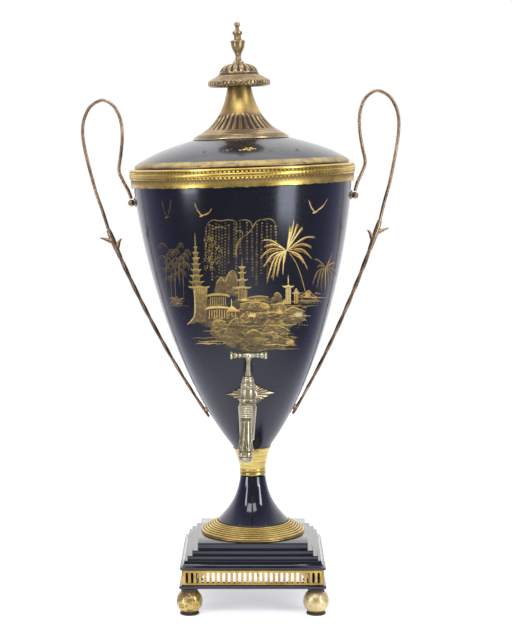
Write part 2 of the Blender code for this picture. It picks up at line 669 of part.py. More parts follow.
def build_tap_plate(upper, tap_hole, brass):
    """Rayed lozenge that lies on the body's wall behind the tap."""
    def on_wall(across, up, away):
        height = TAP_H + up
        radius = body_radius(height)
        turn = (TAP_SIDE + across) / radius
        reach = radius + GAP + away
        return Vector((reach * math.sin(turn), -reach * math.cos(turn), height))

    def edge(angle):
        wide = (abs(math.cos(angle)) / PLATE_STAR_HALF_W) ** PLATE_STAR_POWER
        high = (abs(math.sin(angle)) / PLATE_STAR_HALF_H) ** PLATE_STAR_POWER
        return (wide + high) ** (-1 / PLATE_STAR_POWER)

    shares = (0.6, 1.0)
    spokes = 2 * PLATE_STAR_RAYS
    bm = bmesh.new()
    layers = []
    for front in (True, False):
        middle = bm.verts.new(on_wall(0, 0, PLATE_STAR_THICK + PLATE_STAR_BOSS if front else 0))
        rings = []
        for share in shares:
            ring = []
            for spoke in range(spokes):
                angle = math.tau * spoke / spokes
                notch = 1.0 - 0.13 * (spoke % 2) * share
                reach = edge(angle) * share * notch
                away = 0.0
                if front:
                    ridge = PLATE_STAR_RIDGE * (1 if spoke % 2 == 0 else -1)
                    away = PLATE_STAR_THICK + PLATE_STAR_BOSS * (1 - share) + ridge * min(share, 0.8)
                ring.append(bm.verts.new(on_wall(reach * math.cos(angle), reach * math.sin(angle), away)))
            rings.append(ring)
        layers.append((middle, rings))
    for middle, rings in layers:
        for spoke in range(spokes):
            following = (spoke + 1) % spokes
            bm.faces.new((middle, rings[0][spoke], rings[0][following]))
            for near, far in zip(rings, rings[1:]):
                bm.faces.new((near[spoke], far[spoke], far[following], near[following]))
    front_rim = layers[0][1][-1]
    back_rim = layers[1][1][-1]
    for spoke in range(spokes):
        following = (spoke + 1) % spokes
        bm.faces.new((front_rim[spoke], back_rim[spoke], back_rim[following], front_rim[following]))
    bmesh.ops.triangulate(bm, faces=bm.faces)
    plate = place("tap_plate", bm, brass, upper)
    combine(plate, tap_hole, "DIFFERENCE")


def rod_outline(radius, start, end):
    return [(0, start), (radius, start), (radius, end), (0, end)]


def build_tap(tap, wall, brass):
    """Tap body: tail through the wall, upright barrel with its plug bore, and a dropping spout."""
    ring_r = BARREL_R + BARREL_RING_STAND
    barrel = [
        (0, -BARREL_BOTTOM), (BARREL_R, -BARREL_BOTTOM), (1.12 * BARREL_R, -0.50 * BARREL_BOTTOM),
        (1.28 * BARREL_R, -0.16 * BARREL_BOTTOM),
        (1.08 * BARREL_R, BARREL_RING_UP - 2.4 * BARREL_RING_STAND),
        (ring_r, BARREL_RING_UP - BARREL_RING_STAND), (ring_r, BARREL_RING_UP + BARREL_RING_STAND),
        (BARREL_R, BARREL_RING_UP + 2.4 * BARREL_RING_STAND),
        (BARREL_R, BARREL_TOP), (0, BARREL_TOP),
    ]
    out_of_wall = BARREL_OUT - wall
    axis = (0, -out_of_wall, 0)
    body = place("tap_body", turned(barrel, ROUND_TINY), brass, tap, axis)

    flare_h = -SPOUT_DROP + NOZZLE_HEIGHT
    # Shares of a radius and of a height, from the round top to the neck and along the nozzle
    crown = ((0.60, 0.10), (1.0, 0.50), (1.08, 1.15), (0.96, 1.83))
    nozzle = ((1.0, 0.0), (0.85, 0.10), (0.94, 0.23), (0.94, 0.50), (0.82, 0.61), (0.83, 1.0))
    spout = [
        (0, -SPOUT_TOP),
        *[(wide * SPOUT_NECK_R, -SPOUT_TOP - down * SPOUT_NECK_R) for wide, down in crown],
        *[(wide * SPOUT_FLARE_R, flare_h - down * NOZZLE_HEIGHT) for wide, down in nozzle],
        (0, -SPOUT_DROP),
    ]
    front = (0, -out_of_wall - SPOUT_OUT, 0)
    bridge = (0, -out_of_wall, -BRIDGE_DROP)
    at_wall = upright = (0, 0, 0)
    lying = (math.radians(90), 0, 0)
    pieces = (
        ("tap_spout_shape", spout, ROUND_TINY, front, upright, "UNION"),
        ("tap_tail_shape", rod_outline(TAIL_R, -TAIL_INSIDE, out_of_wall), ROUND_TINY, at_wall, lying, "UNION"),
        ("tap_bridge_shape", rod_outline(BRIDGE_R, 0, SPOUT_OUT), ROUND_TINY, bridge, lying, "UNION"),
        ("tap_outlet_bore", rod_outline(SPOUT_BORE_R, -2 * SPOUT_DROP, -BRIDGE_DROP), ROUND_BORE,
         front, upright, "DIFFERENCE"),
        ("tap_bridge_bore", rod_outline(TAIL_BORE_R, 0, SPOUT_OUT), ROUND_BORE, bridge, lying, "DIFFERENCE"),
        ("tap_tail_bore", rod_outline(TAIL_BORE_R, -2 * TAIL_INSIDE, out_of_wall), ROUND_BORE,
         at_wall, lying, "DIFFERENCE"),
    )
    for name, outline, sides, location, rotation, operation in pieces:
        combine(body, as_tool(place(name, turned(outline, sides), brass, tap, location, rotation)), operation)
    past = 2 * BARREL_R
    bore = [(0, -BARREL_BOTTOM - past), (PLUG_BOTTOM_R + GAP, -BARREL_BOTTOM - past),
            (PLUG_BOTTOM_R + GAP, -BARREL_BOTTOM), (PLUG_TOP_R + GAP, BARREL_TOP),
            (PLUG_TOP_R + GAP, BARREL_TOP + past), (0, BARREL_TOP + past)]
    combine(body, as_tool(place("tap_plug_bore", turned(bore, ROUND_TINY), brass, tap, axis)), "DIFFERENCE")


def build_key(tap, wall, brass):
    """Turning key: tapered plug, cap, waisted stem and a cross bar with a knob at each end."""
    seat = BARREL_TOP + GAP
    nut = -BARREL_BOTTOM - GAP
    axis = (0, -(BARREL_OUT - wall), 0)
    rise = KEY_BAR_H - seat
    # Shares of a radius and of the height from the seat to the bar: cap, then waisted stem
    cap = ((0.99, 0.0), (0.97, 0.04), (0.80, 0.16), (0.68, 0.29), (0.52, 0.31))
    waist = ((1.50, 0.33), (1.0, 0.60), (1.15, 0.80), (1.75, 1.0))
    stem = [
        (0, nut - KEY_NUT_H), (1.22 * PLUG_BOTTOM_R, nut - 0.85 * KEY_NUT_H), (1.32 * PLUG_BOTTOM_R, nut),
        (PLUG_BOTTOM_R, nut), (PLUG_TOP_R, seat),
        *[(wide * BARREL_R, seat + up * rise) for wide, up in cap],
        *[(wide * KEY_STEM_R, seat + up * rise) for wide, up in waist],
        (0, KEY_BAR_H),
    ]
    key = place("tap_key", turned(stem, ROUND_TINY), brass, tap, axis, (0, 0, KEY_REST))
    half = [
        (1.53 * KEY_STEM_R, 0.0), (KEY_STEM_R, 0.30), (1.20 * KEY_STEM_R, 0.52), (0.78 * KEY_KNOB_R, 0.70),
        (0.74 * KEY_KNOB_R, 0.82), (KEY_KNOB_R, 0.90), (KEY_KNOB_R, 0.95), (0.84 * KEY_KNOB_R, 1.0),
    ]
    right = [(radius, share * KEY_BAR_HALF) for radius, share in half]
    left = [(radius, -height) for radius, height in right[:0:-1]]
    bar = [(0, -KEY_BAR_HALF), *left, *right, (0, KEY_BAR_HALF)]
    tool = place("key_bar_shape", turned(bar, 10), brass, key, (0, 0, KEY_BAR_H), (0, math.radians(90), 0))
    combine(key, as_tool(tool), "UNION")


def main():
    for old in list(bpy.data.objects):
        bpy.data.objects.remove(old, do_unlink=True)

    black = material("japanned_black", (0.012, 0.012, 0.020), 0.16, 0.0)
    gilt = material("gilding", (0.62, 0.42, 0.12), 0.34, 1.0)
    brass = material("old_brass", (0.50, 0.38, 0.18), 0.38, 1.0)
    tap_brass = material("tap_brass", (0.52, 0.46, 0.28), 0.36, 1.0)
    bronze = material("handle_bronze", (0.20, 0.14, 0.08), 0.42, 1.0)

    loop_mid_h = SHOULDER_H + HANDLE_LOOP[11][1]
    front_reach = BARREL_OUT + SPOUT_OUT + SPOUT_FLARE_R
    ground = empty("base_axis", None, (loop_mid_h * math.sin(LEAN), (front_reach - BAND_BEAD_R) / 2, 0))
    upper = empty("upper_axis", ground, (0, 0, NECK_Z), (0, -LEAN, 0))
    wall = body_radius(TAP_H)
    tap = empty("tap_axis", upper, (TAP_SIDE, -wall, TAP_H), (0, TAP_ROLL, TAP_YAW))
    hole = turned(rod_outline(TAIL_R + GAP, -2 * TAIL_INSIDE, 2 * TAIL_INSIDE), 12)
    tap_hole = as_tool(place("tap_hole", hole, brass, tap, (0, 0, 0), (math.radians(90), 0, 0)))

    build_feet(ground, gilt)
    build_rail(ground, black)
    build_gallery(ground, gilt)
    build_plinth(ground, black)
    build_socle(ground, black, gilt)
    build_collar(upper, gilt)
    build_body(upper, tap_hole, black)
    build_band(upper, gilt)
    build_lid(upper, black)
    build_cone(upper, brass)
    build_finial(upper, brass)
    build_handles(upper, bronze, brass)
    build_tap_plate(upper, tap_hole, tap_brass)
    build_tap(tap, wall, tap_brass)
    build_key(tap, wall, tap_brass)


main()
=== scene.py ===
# %% [markdown]
# # A japanned hot water urn with gilt mounts
# The urn is tinned sheet metal under black japan, with gilt and brass mounts turned on a lathe.
# Each piece is modelled near the axis where a lathe would hold it, and is then stood on the urn.
# The solids come first, as the frame that every finer piece is fitted to.

# %% The frame of solids
import math
import random

import bmesh
import bpy
import numpy as np
from mathutils import Euler, Matrix, Vector


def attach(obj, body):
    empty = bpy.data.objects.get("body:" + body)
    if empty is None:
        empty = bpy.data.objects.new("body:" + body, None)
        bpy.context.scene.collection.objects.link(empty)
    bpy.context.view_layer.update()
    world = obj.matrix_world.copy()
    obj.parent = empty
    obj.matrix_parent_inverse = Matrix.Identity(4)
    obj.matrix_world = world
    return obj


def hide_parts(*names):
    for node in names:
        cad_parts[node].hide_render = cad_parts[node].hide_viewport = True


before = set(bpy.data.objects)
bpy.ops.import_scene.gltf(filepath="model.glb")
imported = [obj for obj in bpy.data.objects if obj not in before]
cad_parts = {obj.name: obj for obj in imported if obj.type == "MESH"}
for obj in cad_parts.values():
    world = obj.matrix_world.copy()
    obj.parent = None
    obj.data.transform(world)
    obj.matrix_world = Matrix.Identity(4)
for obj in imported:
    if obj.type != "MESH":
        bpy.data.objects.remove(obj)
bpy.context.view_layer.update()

# %% [markdown]
# ## Where things stand
# Feet, plinth and socle share an upright axis. At the neck an old solder joint has settled, so all
# that is above it leans a little to the left. Two matrices hold these axes, and a third the tap's.
# Heights that end in _Z are above the floor, and those that end in _H are above the neck.

# %% Axes and levels, in metres
GAP = 0.0003
AXIS_X, AXIS_Y = 0.0118, 0.0019
NECK_Z = 0.1228
LEAN = math.radians(1.98)
PLATE_Z = 0.0664
BODY_H, SHOULDER_H, BODY_TOP_H = 0.0282, 0.2842, 0.3006
BAND_PLAIN, BAND_BEADED = 0.0076, 0.0094
LID_EDGE, LID_RISE = 0.0027, 0.0232
CONE_TALL, DISH_TALL, KNOP_TALL = 0.0489, 0.0217, 0.0389
BAND_TOP_H = SHOULDER_H + BAND_PLAIN + BAND_BEADED + GAP
LID_H = BAND_TOP_H + GAP
CROWN_H = LID_H + LID_EDGE + LID_RISE
CONE_H = CROWN_H + GAP
DISH_H = CONE_H + CONE_TALL + GAP
KNOP_H = DISH_H + DISH_TALL + GAP
SHOULDER_R = 0.1048
WALL = 0.0010
TAP_H, TAP_SIDE = 0.0877, 0.0010
TAP_TILT, TAP_TURN = math.radians(3.1), math.radians(-4.0)

upright = Matrix.Translation((AXIS_X, AXIS_Y, 0))
leaning = Matrix.Translation((AXIS_X, AXIS_Y, NECK_Z)) @ Euler((0, -LEAN, 0)).to_matrix().to_4x4()
print("the top of the knop leans", round(math.sin(LEAN) * (KNOP_H + KNOP_TALL), 4), "m to the left")


def mm(points, height=0.0, across=0.0):
    """Points (across, up) given in millimetres from a height and a radius, in metres."""
    return [(across + r / 1000, height + h / 1000) for r, h in points]


def bezier(start, pull, last_pull, end, steps):
    points = []
    for step in range(steps + 1):
        t = step / steps
        s = 1 - t
        points.append(tuple(s ** 3 * a + 3 * s * s * t * b + 3 * s * t * t * c + t ** 3 * d
                            for a, b, c, d in zip(start, pull, last_pull, end)))
    return points


body_line = bezier((0.0194, 0.0300), (0.0644, 0.0890), (0.0968, 0.1982), (SHOULDER_R, SHOULDER_H), 48)


def body_radius(height):
    for (r0, h0), (r1, h1) in zip(body_line, body_line[1:]):
        if height <= h1:
            return r0 + (r1 - r0) * max(height - h0, 0) / (h1 - h0)
    return SHOULDER_R


tapping = (leaning @ Matrix.Translation((TAP_SIDE, -body_radius(TAP_H), TAP_H))
           @ Euler((0, TAP_TILT, TAP_TURN)).to_matrix().to_4x4())

# %% [markdown]
# ## The camera
# The picture is taken from 1.6 m in front with a long lens, from a little above the middle of the
# urn. A long lens keeps the plinth's far edge close to its near edge in size, as in the photograph.

# %% Camera
CAMERA_DOWN = math.radians(6.3993)
FOCUS = 1672.0
PICTURE_CENTRE = 256, 322
bpy.ops.object.camera_add(location=(0.0148, -1.6125, 0.4540),
                          rotation=(math.radians(90) - CAMERA_DOWN, 0, 0))
camera = bpy.context.object
camera.name = "camera"
camera.data.sensor_width = 36
camera.data.lens = 93.47
camera.data.clip_start = 0.05
bpy.context.scene.camera = camera
print("camera looks down", round(math.degrees(CAMERA_DOWN), 1), "degrees")

# %% [markdown]
# ## Shader tools
# A finish is worked out from small sums on masks and noises. The first class wraps a socket so that
# such a sum reads like plain arithmetic. The second makes nodes with their settings and inputs, and
# the third adds what every finish of the urn is mixed from.


# %% Values, trees and finishes
class Value:
    """A socket of a node tree. Sums on it add Math nodes."""

    def __init__(self, tree, socket):
        self.tree, self.socket = tree, socket

    def math(self, operation, *others):
        return self.tree.value("ShaderNodeMath", 0, {"operation": operation},
                               dict(enumerate((self, *others))))

    def __add__(self, other): return self.math("ADD", other)
    def __radd__(self, other): return self.math("ADD", other)
    def __sub__(self, other): return self.math("SUBTRACT", other)
    def __rsub__(self, other): return (self * -1) + other
    def __mul__(self, other): return self.math("MULTIPLY", other)
    def clipped(self): return self.math("MINIMUM", 1.0).math("MAXIMUM", 0.0)

    def above(self, level, softness):
        """From 0 to 1 round the level, over the given softness."""
        return self.tree.value("ShaderNodeMapRange", 0, {"interpolation_type": "SMOOTHSTEP"}, {
            "Value": self, "From Min": level - softness, "From Max": level + softness})


class Tree:
    """A node tree of a world or a material."""

    def __init__(self, owner):
        owner.use_nodes = True
        self.tree = owner.node_tree

    def feed(self, socket, given):
        if isinstance(given, Value):
            self.tree.links.new(given.socket, socket)
        elif isinstance(given, tuple) and len(given) == 3 and socket.type == "RGBA":
            socket.default_value = (*given, 1)
        else:
            socket.default_value = given

    def node(self, kind, settings={}, sockets={}):
        made = self.tree.nodes.new(kind)
        for name, setting in settings.items():
            if name == "stops":
                ramp = made.color_ramp
                while len(ramp.elements) < len(setting):
                    ramp.elements.new(0.5)
                for element, (place, colour) in zip(ramp.elements, setting):
                    element.position = place
                    element.color = (*colour, 1)
            else:
                setattr(made, name, setting)
        for name, given in sockets.items():
            self.feed(made.inputs[name], given)
        return made

    def value(self, kind, output=0, settings={}, sockets={}):
        return Value(self, self.node(kind, settings, sockets).outputs[output])

    def ramp(self, value, stops):
        return self.value("ShaderNodeValToRGB", "Color", {"stops": stops}, {"Fac": value})


class Finish(Tree):
    """A procedural material round one Principled BSDF."""

    def __init__(self, name, **constants):
        self.material = bpy.data.materials.new(name)
        super().__init__(self.material)
        self.shader = self.tree.nodes["Principled BSDF"]
        self.object = self.value("ShaderNodeTexCoord", "Object")
        self.give(**constants)

    def give(self, **surfaces):
        for socket, given in surfaces.items():
            self.feed(self.shader.inputs[socket.replace("_", " ")], given)
        return self

    def given(self, socket):
        """What the shader's socket is fed with so far."""
        return Value(self, self.shader.inputs[socket].links[0].from_socket)

    def noise(self, scale, detail=3.0, roughness=0.55, stretch=(1, 1, 1), shift=0.0):
        where = self.value("ShaderNodeMapping", 0, {}, {
            "Vector": self.object, "Scale": stretch, "Location": (shift, shift * 0.7, shift * 0.3)})
        return self.value("ShaderNodeTexNoise", "Fac", {}, {
            "Vector": where, "Scale": scale, "Detail": detail, "Roughness": roughness})

    def mix(self, factor, first, second):
        return self.value("ShaderNodeMix", 2, {"data_type": "RGBA"}, {0: factor, 6: first, 7: second})

    def painted(self, name):
        return self.value("ShaderNodeAttribute", "Fac", {"attribute_name": name})

    def height(self, leans):
        """The height along the piece's own axis, upright or leaning."""
        own = self.value("ShaderNodeMapping", 0, {"vector_type": "TEXTURE"}, {
            "Vector": self.object, "Location": (AXIS_X, AXIS_Y, NECK_Z if leans else 0.0),
            "Rotation": (0, -LEAN if leans else 0.0, 0)})
        return self.value("ShaderNodeSeparateXYZ", "Z", {}, {"Vector": own})

    def bump(self, height, depth, strength=1.0):
        self.give(Normal=self.value("ShaderNodeBump", 0, {}, {
            "Height": height, "Distance": depth, "Strength": strength}))


# %% [markdown]
# ## Floor and light
# Black japan is nearly a mirror, so it shows the studio more than itself. The room behind the camera
# is dim, which keeps the front black, and the backdrop is bright, which gives the pale glow at the
# edges. Two tall soft boxes draw the upright highlights, a wide one overhead lights the gilding, and
# two low windows at the sides give the short glints on the tap, the feet and the socle.
# The floor is a pale oval that fades out: the belly slopes down to it and would mirror all of it.

# %% Floor
FLOOR_Y = 0.5
OVAL_X, OVAL_Y = 0.62, 1.7
bpy.ops.object.select_all(action="DESELECT")
bpy.ops.mesh.primitive_plane_add(size=1, location=(0, FLOOR_Y, 0))
floor = bpy.context.object
floor.scale = (1.3, 3.4, 1)
bpy.ops.object.transform_apply(location=True, scale=True)
floor.name = "floor"
paper = Finish("floor", Base_Color=(0.86, 0.86, 0.87), Roughness=0.7,
               Emission_Color=(0.98, 0.98, 1.0), Emission_Strength=0.50)
oval = paper.value("ShaderNodeMapping", 0, {},
                   {"Vector": paper.object, "Scale": (1 / OVAL_X, 1 / OVAL_Y, 1),
                    "Location": (0, -FLOOR_Y / OVAL_Y, 0)})
outward = paper.value("ShaderNodeVectorMath", "Value", {"operation": "LENGTH"}, {0: oval})
fade = paper.value("ShaderNodeMapRange", "Result", {"interpolation_type": "SMOOTHSTEP"}, {
    "Value": outward, "From Min": 0.35, "From Max": 0.98, "To Min": 1.0, "To Max": 0.0})
floor.data.materials.append(paper.give(Alpha=fade).material)

# %% Room light
# Stops of the room, from the wall behind the camera to the backdrop: place, grey and share of blue
ROOM = ((0.0, 0.12, 1.25), (0.30, 0.15, 1.3), (0.58, 0.19, 1.7), (0.76, 0.36, 1.55), (0.88, 0.88, 1.12),
        (1.0, 1.0, 1.0))
world = bpy.data.worlds.new("studio")
bpy.context.scene.world = world
room = Tree(world)
ways = room.node("ShaderNodeSeparateXYZ", {}, {0: room.value("ShaderNodeTexCoord", "Generated")})
upward = Value(room, ways.outputs["Z"]).math("MAXIMUM", 0.0)
backward = upward.math("MULTIPLY_ADD", 0.6, Value(room, ways.outputs["Y"]))
depth = room.value("ShaderNodeMapRange", "Result", {}, {"Value": backward, "From Min": -1})
lit = room.tree.nodes["Background"]
room.feed(lit.inputs["Strength"], 1.25)
room.feed(lit.inputs["Color"],
          room.ramp(depth, [(at, (grey, grey, grey * blue)) for at, grey, blue in ROOM]))
plain = room.value("ShaderNodeBackground", 0, {}, {"Color": (1, 1, 1), "Strength": 1.0})
pick = room.value("ShaderNodeMixShader", 0, {},
                  {"Fac": room.value("ShaderNodeLightPath", "Is Camera Ray"),
                   1: Value(room, lit.outputs[0]), 2: plain})
room.feed(room.tree.nodes["World Output"].inputs["Surface"], pick)
bpy.context.scene.view_settings.view_transform = "Standard"
print("room light has", len(ROOM), "stops")

# %% Soft boxes
WHITE, DAYLIGHT = (1, 1, 1), (0.92, 0.96, 1.0)
for name, place, aim_z, width, height, watts, colour in (
        ("soft_box_left", (-1.35, -1.30, 1.05), 0.35, 0.30, 1.3, 9, WHITE),
        ("soft_box_right", (1.60, -1.20, 1.05), 0.35, 0.38, 1.3, 14, WHITE),
        ("soft_box_above", (-0.2, -1.5, 2.0), 0.25, 1.6, 0.7, 16, WHITE),
        ("overhead", (0, 0.5, 2.2), 0, 2.4, 1.6, 8, WHITE),
        ("window_left", (-1.00, -0.72, 0.22), 0.36, 0.34, 0.20, 1.7, DAYLIGHT),
        ("window_right", (0.90, -0.86, 0.19), 0.36, 0.42, 0.34, 3.0, DAYLIGHT)):
    bpy.ops.object.light_add(type="AREA", location=place)
    lamp = bpy.context.object
    lamp.name = name
    lamp.data.shape = "RECTANGLE"
    lamp.data.size, lamp.data.size_y = width, height
    lamp.data.energy = watts
    lamp.data.color = colour
    lamp.rotation_euler = (Vector((0, 0, aim_z)) - Vector(place)).to_track_quat("-Z", "Y").to_euler()

# %% [markdown]
# ## Black japan
# Japan is a stoved varnish, black with a little blue, smooth but not flat: it keeps the streaks of
# the brush, fine hairline scratches and some dust. Base colour stays nearly constant, and roughness
# and a very shallow bump carry the age.


# %% Japan
def japan(name, streaks=(0.03, 0.03, 1), rough=0.13, ripple=0.00004, coat=0.08):
    finish = Finish(name, IOR=1.50, Specular_Tint=(0.84, 0.87, 1.0), Coat_Roughness=0.05)
    streak = finish.noise(1500, 2, 0.6, streaks)
    broad = finish.noise(420, 3, 0.6, streaks, 2.0)
    cloud = finish.noise(14, 3, 0.5, shift=3.0)
    dust = finish.noise(900, 2, 0.6, shift=1.0).above(0.68, 0.05) * cloud.above(0.50, 0.12)
    scratch = finish.noise(260, 2, 0.5, (1, 1, 0.05), 5.0).above(0.71, 0.02) * cloud.above(0.48, 0.10)
    colour = finish.ramp(cloud, [(0.3, (0.0062, 0.0067, 0.0096)), (0.7, (0.0105, 0.0107, 0.0165))])
    colour = finish.mix(dust * 0.45, colour, (0.13, 0.12, 0.12))
    colour = finish.mix(scratch * 0.30, colour, (0.08, 0.08, 0.10))
    finish.bump(streak * 0.55 + broad * 0.45 + cloud * 2.0, ripple)
    return finish.give(Base_Color=colour, Coat_Weight=coat, Roughness=rough + broad * 0.12 + dust * 0.2)


body_black = japan("japan_body")
base_black = japan("japan_base", (0.3, 0.3, 1), 0.04, 0.000006, 0.6)
print("japan finishes:", body_black.material.name, base_black.material.name)

# %% [markdown]
# ## Metals
# Every metal here is the same idea with other colours: bright where fingers rub, dull between, and
# dark in the hollows, which is painted shade. The painted shade comes from an attribute that each
# piece gets from Blender's own dirt tool, and stain spots, wiping marks and fine scratches come on top.


# %% Metal
def metal(name, bright, middle, dark, rough=0.30, spots=0.5, grain=(1, 1, 1), green=0.0,
          shade_and_stain_colour=(0.10, 0.055, 0.03)):
    finish = Finish(name, IOR=1.5)
    cloud = finish.noise(42, 4, 0.62, grain)
    fine = finish.noise(420, 3, 0.6, grain, 2.0)
    spot = finish.noise(210, 3, 0.7, shift=7.0).above(0.665 - 0.05 * spots, 0.03)
    wide = finish.noise(55, 4, 0.7, shift=4.0).above(0.68 - 0.06 * spots, 0.05)
    # Painted shade: the dirt tool's attribute darkens the hollows, and stain spots are added to it
    painted = finish.painted("soil")
    soil = 1 - painted.above(0.22, 0.20)
    soil = (soil + wide * 0.40 * spots + spot * 0.50 * spots).clipped()
    worn = painted.above(0.80, 0.16)
    colour = finish.ramp(cloud * 0.7 + fine * 0.3, [(0.34, dark), (0.50, middle), (0.66, bright)])
    colour = finish.mix(worn * 0.6, colour, bright)
    colour = finish.mix(soil * 0.92, colour, shade_and_stain_colour)
    if green:
        verdigris = finish.noise(130, 3, 0.7, shift=11.0).above(0.66, 0.03) * green
        colour = finish.mix(verdigris, colour, (0.12, 0.28, 0.20))
    finish.bump(cloud * 0.5 + fine * 0.5 - spot * 0.6, 0.00012, 0.4)
    finish.soil, finish.colour = soil, colour
    finish.rough = rough + cloud * 0.16 - fine * 0.06 + soil * 0.25 - worn * 0.06
    return finish.give(Base_Color=colour, Metallic=0.86 - soil * 0.50, Roughness=finish.rough)


gilding = metal("gilding", (0.82, 0.62, 0.20), (0.62, 0.44, 0.11), (0.38, 0.24, 0.055), 0.27, 0.4)
old_brass = metal("old_brass", (0.64, 0.48, 0.24), (0.43, 0.31, 0.15), (0.20, 0.13, 0.07), 0.28, 0.7,
                  shade_and_stain_colour=(0.050, 0.028, 0.030))
tap_brass = metal("tap_brass", (0.86, 0.80, 0.54), (0.60, 0.54, 0.33), (0.27, 0.23, 0.13), 0.26, 0.6,
                  green=0.8, shade_and_stain_colour=(0.060, 0.046, 0.030))
handle_bronze = metal("handle_bronze", (0.74, 0.54, 0.34), (0.42, 0.28, 0.17), (0.12, 0.070, 0.050),
                      0.28, 0.35)
print("metals:", [finish.material.name for finish in (gilding, old_brass, tap_brass, handle_bronze)])

# %% [markdown]
# ## Turning on the lathe
# Most pieces are turned. A single point is drawn out along the outline by extruding it, and the
# line is spun round the axis. Spin leaves its first and last copy on top of each other, so doubles
# are merged, and only then do the normals get turned outwards.


# %% Turning
def let_go():
    if bpy.context.mode != "OBJECT":
        bpy.ops.object.mode_set(mode="OBJECT")
    bpy.ops.object.select_all(action="DESELECT")


def take(piece):
    """Selects one piece alone and makes it active."""
    let_go()
    piece.select_set(True)
    bpy.context.view_layer.objects.active = piece


def close_up(name):
    """Merges the doubles of the mesh in edit mode, turns its faces outwards and names the piece."""
    bpy.ops.mesh.select_all(action="SELECT")
    bpy.ops.mesh.remove_doubles(threshold=0.000002)
    bpy.ops.mesh.select_all(action="SELECT")
    bpy.ops.mesh.normals_make_consistent(inside=False)
    bpy.ops.object.mode_set(mode="OBJECT")
    piece = bpy.context.object
    piece.name = piece.data.name = name
    return piece


def draw(outline):
    """Draws points (across, up) as a line in the XZ plane, by extruding one vertex."""
    let_go()
    bpy.ops.mesh.primitive_plane_add(size=0.001, location=(0, 0, 0))
    bpy.ops.object.mode_set(mode="EDIT")
    bpy.ops.mesh.merge(type="CENTER")
    bpy.ops.transform.translate(value=(outline[0][0], 0, outline[0][1]))
    for (r0, h0), (r1, h1) in zip(outline, outline[1:]):
        bpy.ops.mesh.extrude_region_move(TRANSFORM_OT_translate={"value": (r1 - r0, 0, h1 - h0)})


def turn(name, outline, segments=96, closed=False):
    draw([*outline, outline[0]] if closed else outline)
    bpy.ops.mesh.select_all(action="SELECT")
    bpy.ops.mesh.spin(steps=segments, angle=math.tau, center=(0, 0, 0), axis=(0, 0, 1))
    return close_up(name)


# %% Pressing, moving and joining
def coordinates(piece):
    co = np.empty(len(piece.data.vertices) * 3, np.float32)
    piece.data.vertices.foreach_get("co", co)
    return co.reshape(-1, 3)


def choose(piece, chosen):
    """Selects the vertices of a true/false list and goes to edit mode."""
    take(piece)
    bpy.ops.object.mode_set(mode="EDIT")
    bpy.ops.mesh.select_mode(type="VERT")
    bpy.ops.mesh.select_all(action="DESELECT")
    bpy.ops.object.mode_set(mode="OBJECT")
    piece.data.vertices.foreach_set("select", np.asarray(chosen, bool))
    bpy.ops.object.mode_set(mode="EDIT")


def press(piece, chosen, factor):
    """Presses the chosen vertices in towards the Z axis, or out for a factor above 1."""
    if np.any(chosen):
        choose(piece, chosen)
        bpy.ops.transform.resize(value=(factor, factor, 1), center_override=(0, 0, 0))
        bpy.ops.object.mode_set(mode="OBJECT")


def lobes(piece, count):
    """Each vertex's place in its lobe, from 0 on the lobe to 1 in the hollow, its radius and height."""
    co = coordinates(piece)
    share = (np.arctan2(co[:, 1], co[:, 0]) / math.tau * count) % 1.0
    return np.abs(share * 2 - 1), np.hypot(co[:, 0], co[:, 1]), co[:, 2]


def modify(piece, kind, **settings):
    take(piece)
    step = piece.modifiers.new(kind.lower(), kind)
    for name, setting in settings.items():
        setattr(step, name, setting)
    bpy.ops.object.modifier_apply(modifier=step.name)


def round_edges(piece, width, segments=2, angle=30):
    modify(piece, "BEVEL", width=width, segments=segments, limit_method="ANGLE",
           angle_limit=math.radians(angle), harden_normals=False)


def join(name, *pieces):
    take(pieces[0])
    for piece in pieces:
        piece.select_set(True)
    if len(pieces) > 1:
        bpy.ops.object.join()
    pieces[0].name = pieces[0].data.name = name
    return pieces[0]


def move(piece, matrix):
    take(piece)
    piece.matrix_world = matrix @ piece.matrix_world
    bpy.ops.object.transform_apply(location=True, rotation=True, scale=True)
    return piece


# %% Painted hollow shade and handing over
# Extra painted shade for each piece's own grooves, dents and flutes, one value a vertex
hollows = {}


def level_shade_and_soil(piece):
    """Puts flat places at one half, paints more shade into the piece's own hollows, keeps the rest in
    proportion.
    """
    layer = piece.data.color_attributes["soil"].data
    colours = np.empty(len(layer) * 4, np.float32)
    layer.foreach_get("color", colours)
    grey = colours.reshape(-1, 4)[:, 0]
    low, flat, high = np.percentile(grey, (2, 50, 98))
    level = np.where(grey < flat, 0.5 - 0.5 * (flat - grey) / max(flat - low, 0.04),
                     0.5 + 0.5 * (grey - flat) / max(high - flat, 0.04))
    level = np.clip(level - hollows.get(piece.name, 0.0), 0, 1)
    layer.foreach_set("color", np.repeat(level, 4).astype(np.float32))


def finish_piece(piece, look, nodes=(), body="urn", angle=32, soil=True):
    """Shades a piece that is in its place smooth, paints shade into its hollows, dresses it and fits it
    to the frame.
    """
    take(piece)
    bpy.ops.object.shade_smooth_by_angle(angle=math.radians(angle))
    if soil:
        bpy.ops.geometry.color_attribute_add(name="soil", domain="POINT", data_type="BYTE_COLOR",
                                             color=(1, 1, 1, 1))
        # Painted shade: the dirt tool darkens the hollows
        bpy.ops.paint.vertex_color_dirt(blur_strength=0.5, blur_iterations=1, normalize=True)
        level_shade_and_soil(piece)
    piece.data.materials.clear()
    piece.data.materials.append(look.material)
    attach(piece, body)
    if nodes:
        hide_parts(*nodes)
    print(piece.name, "has", sum(len(p.vertices) - 2 for p in piece.data.polygons), "triangles")
    return piece


# %% [markdown]
# ## Ball feet
# Four gilt balls, each on a flat dark pad and under a dark collar. They are turned in one piece.
# The front left ball is chipped and stained: its own finish carries the stains, and a few dents
# are pressed into the ball.

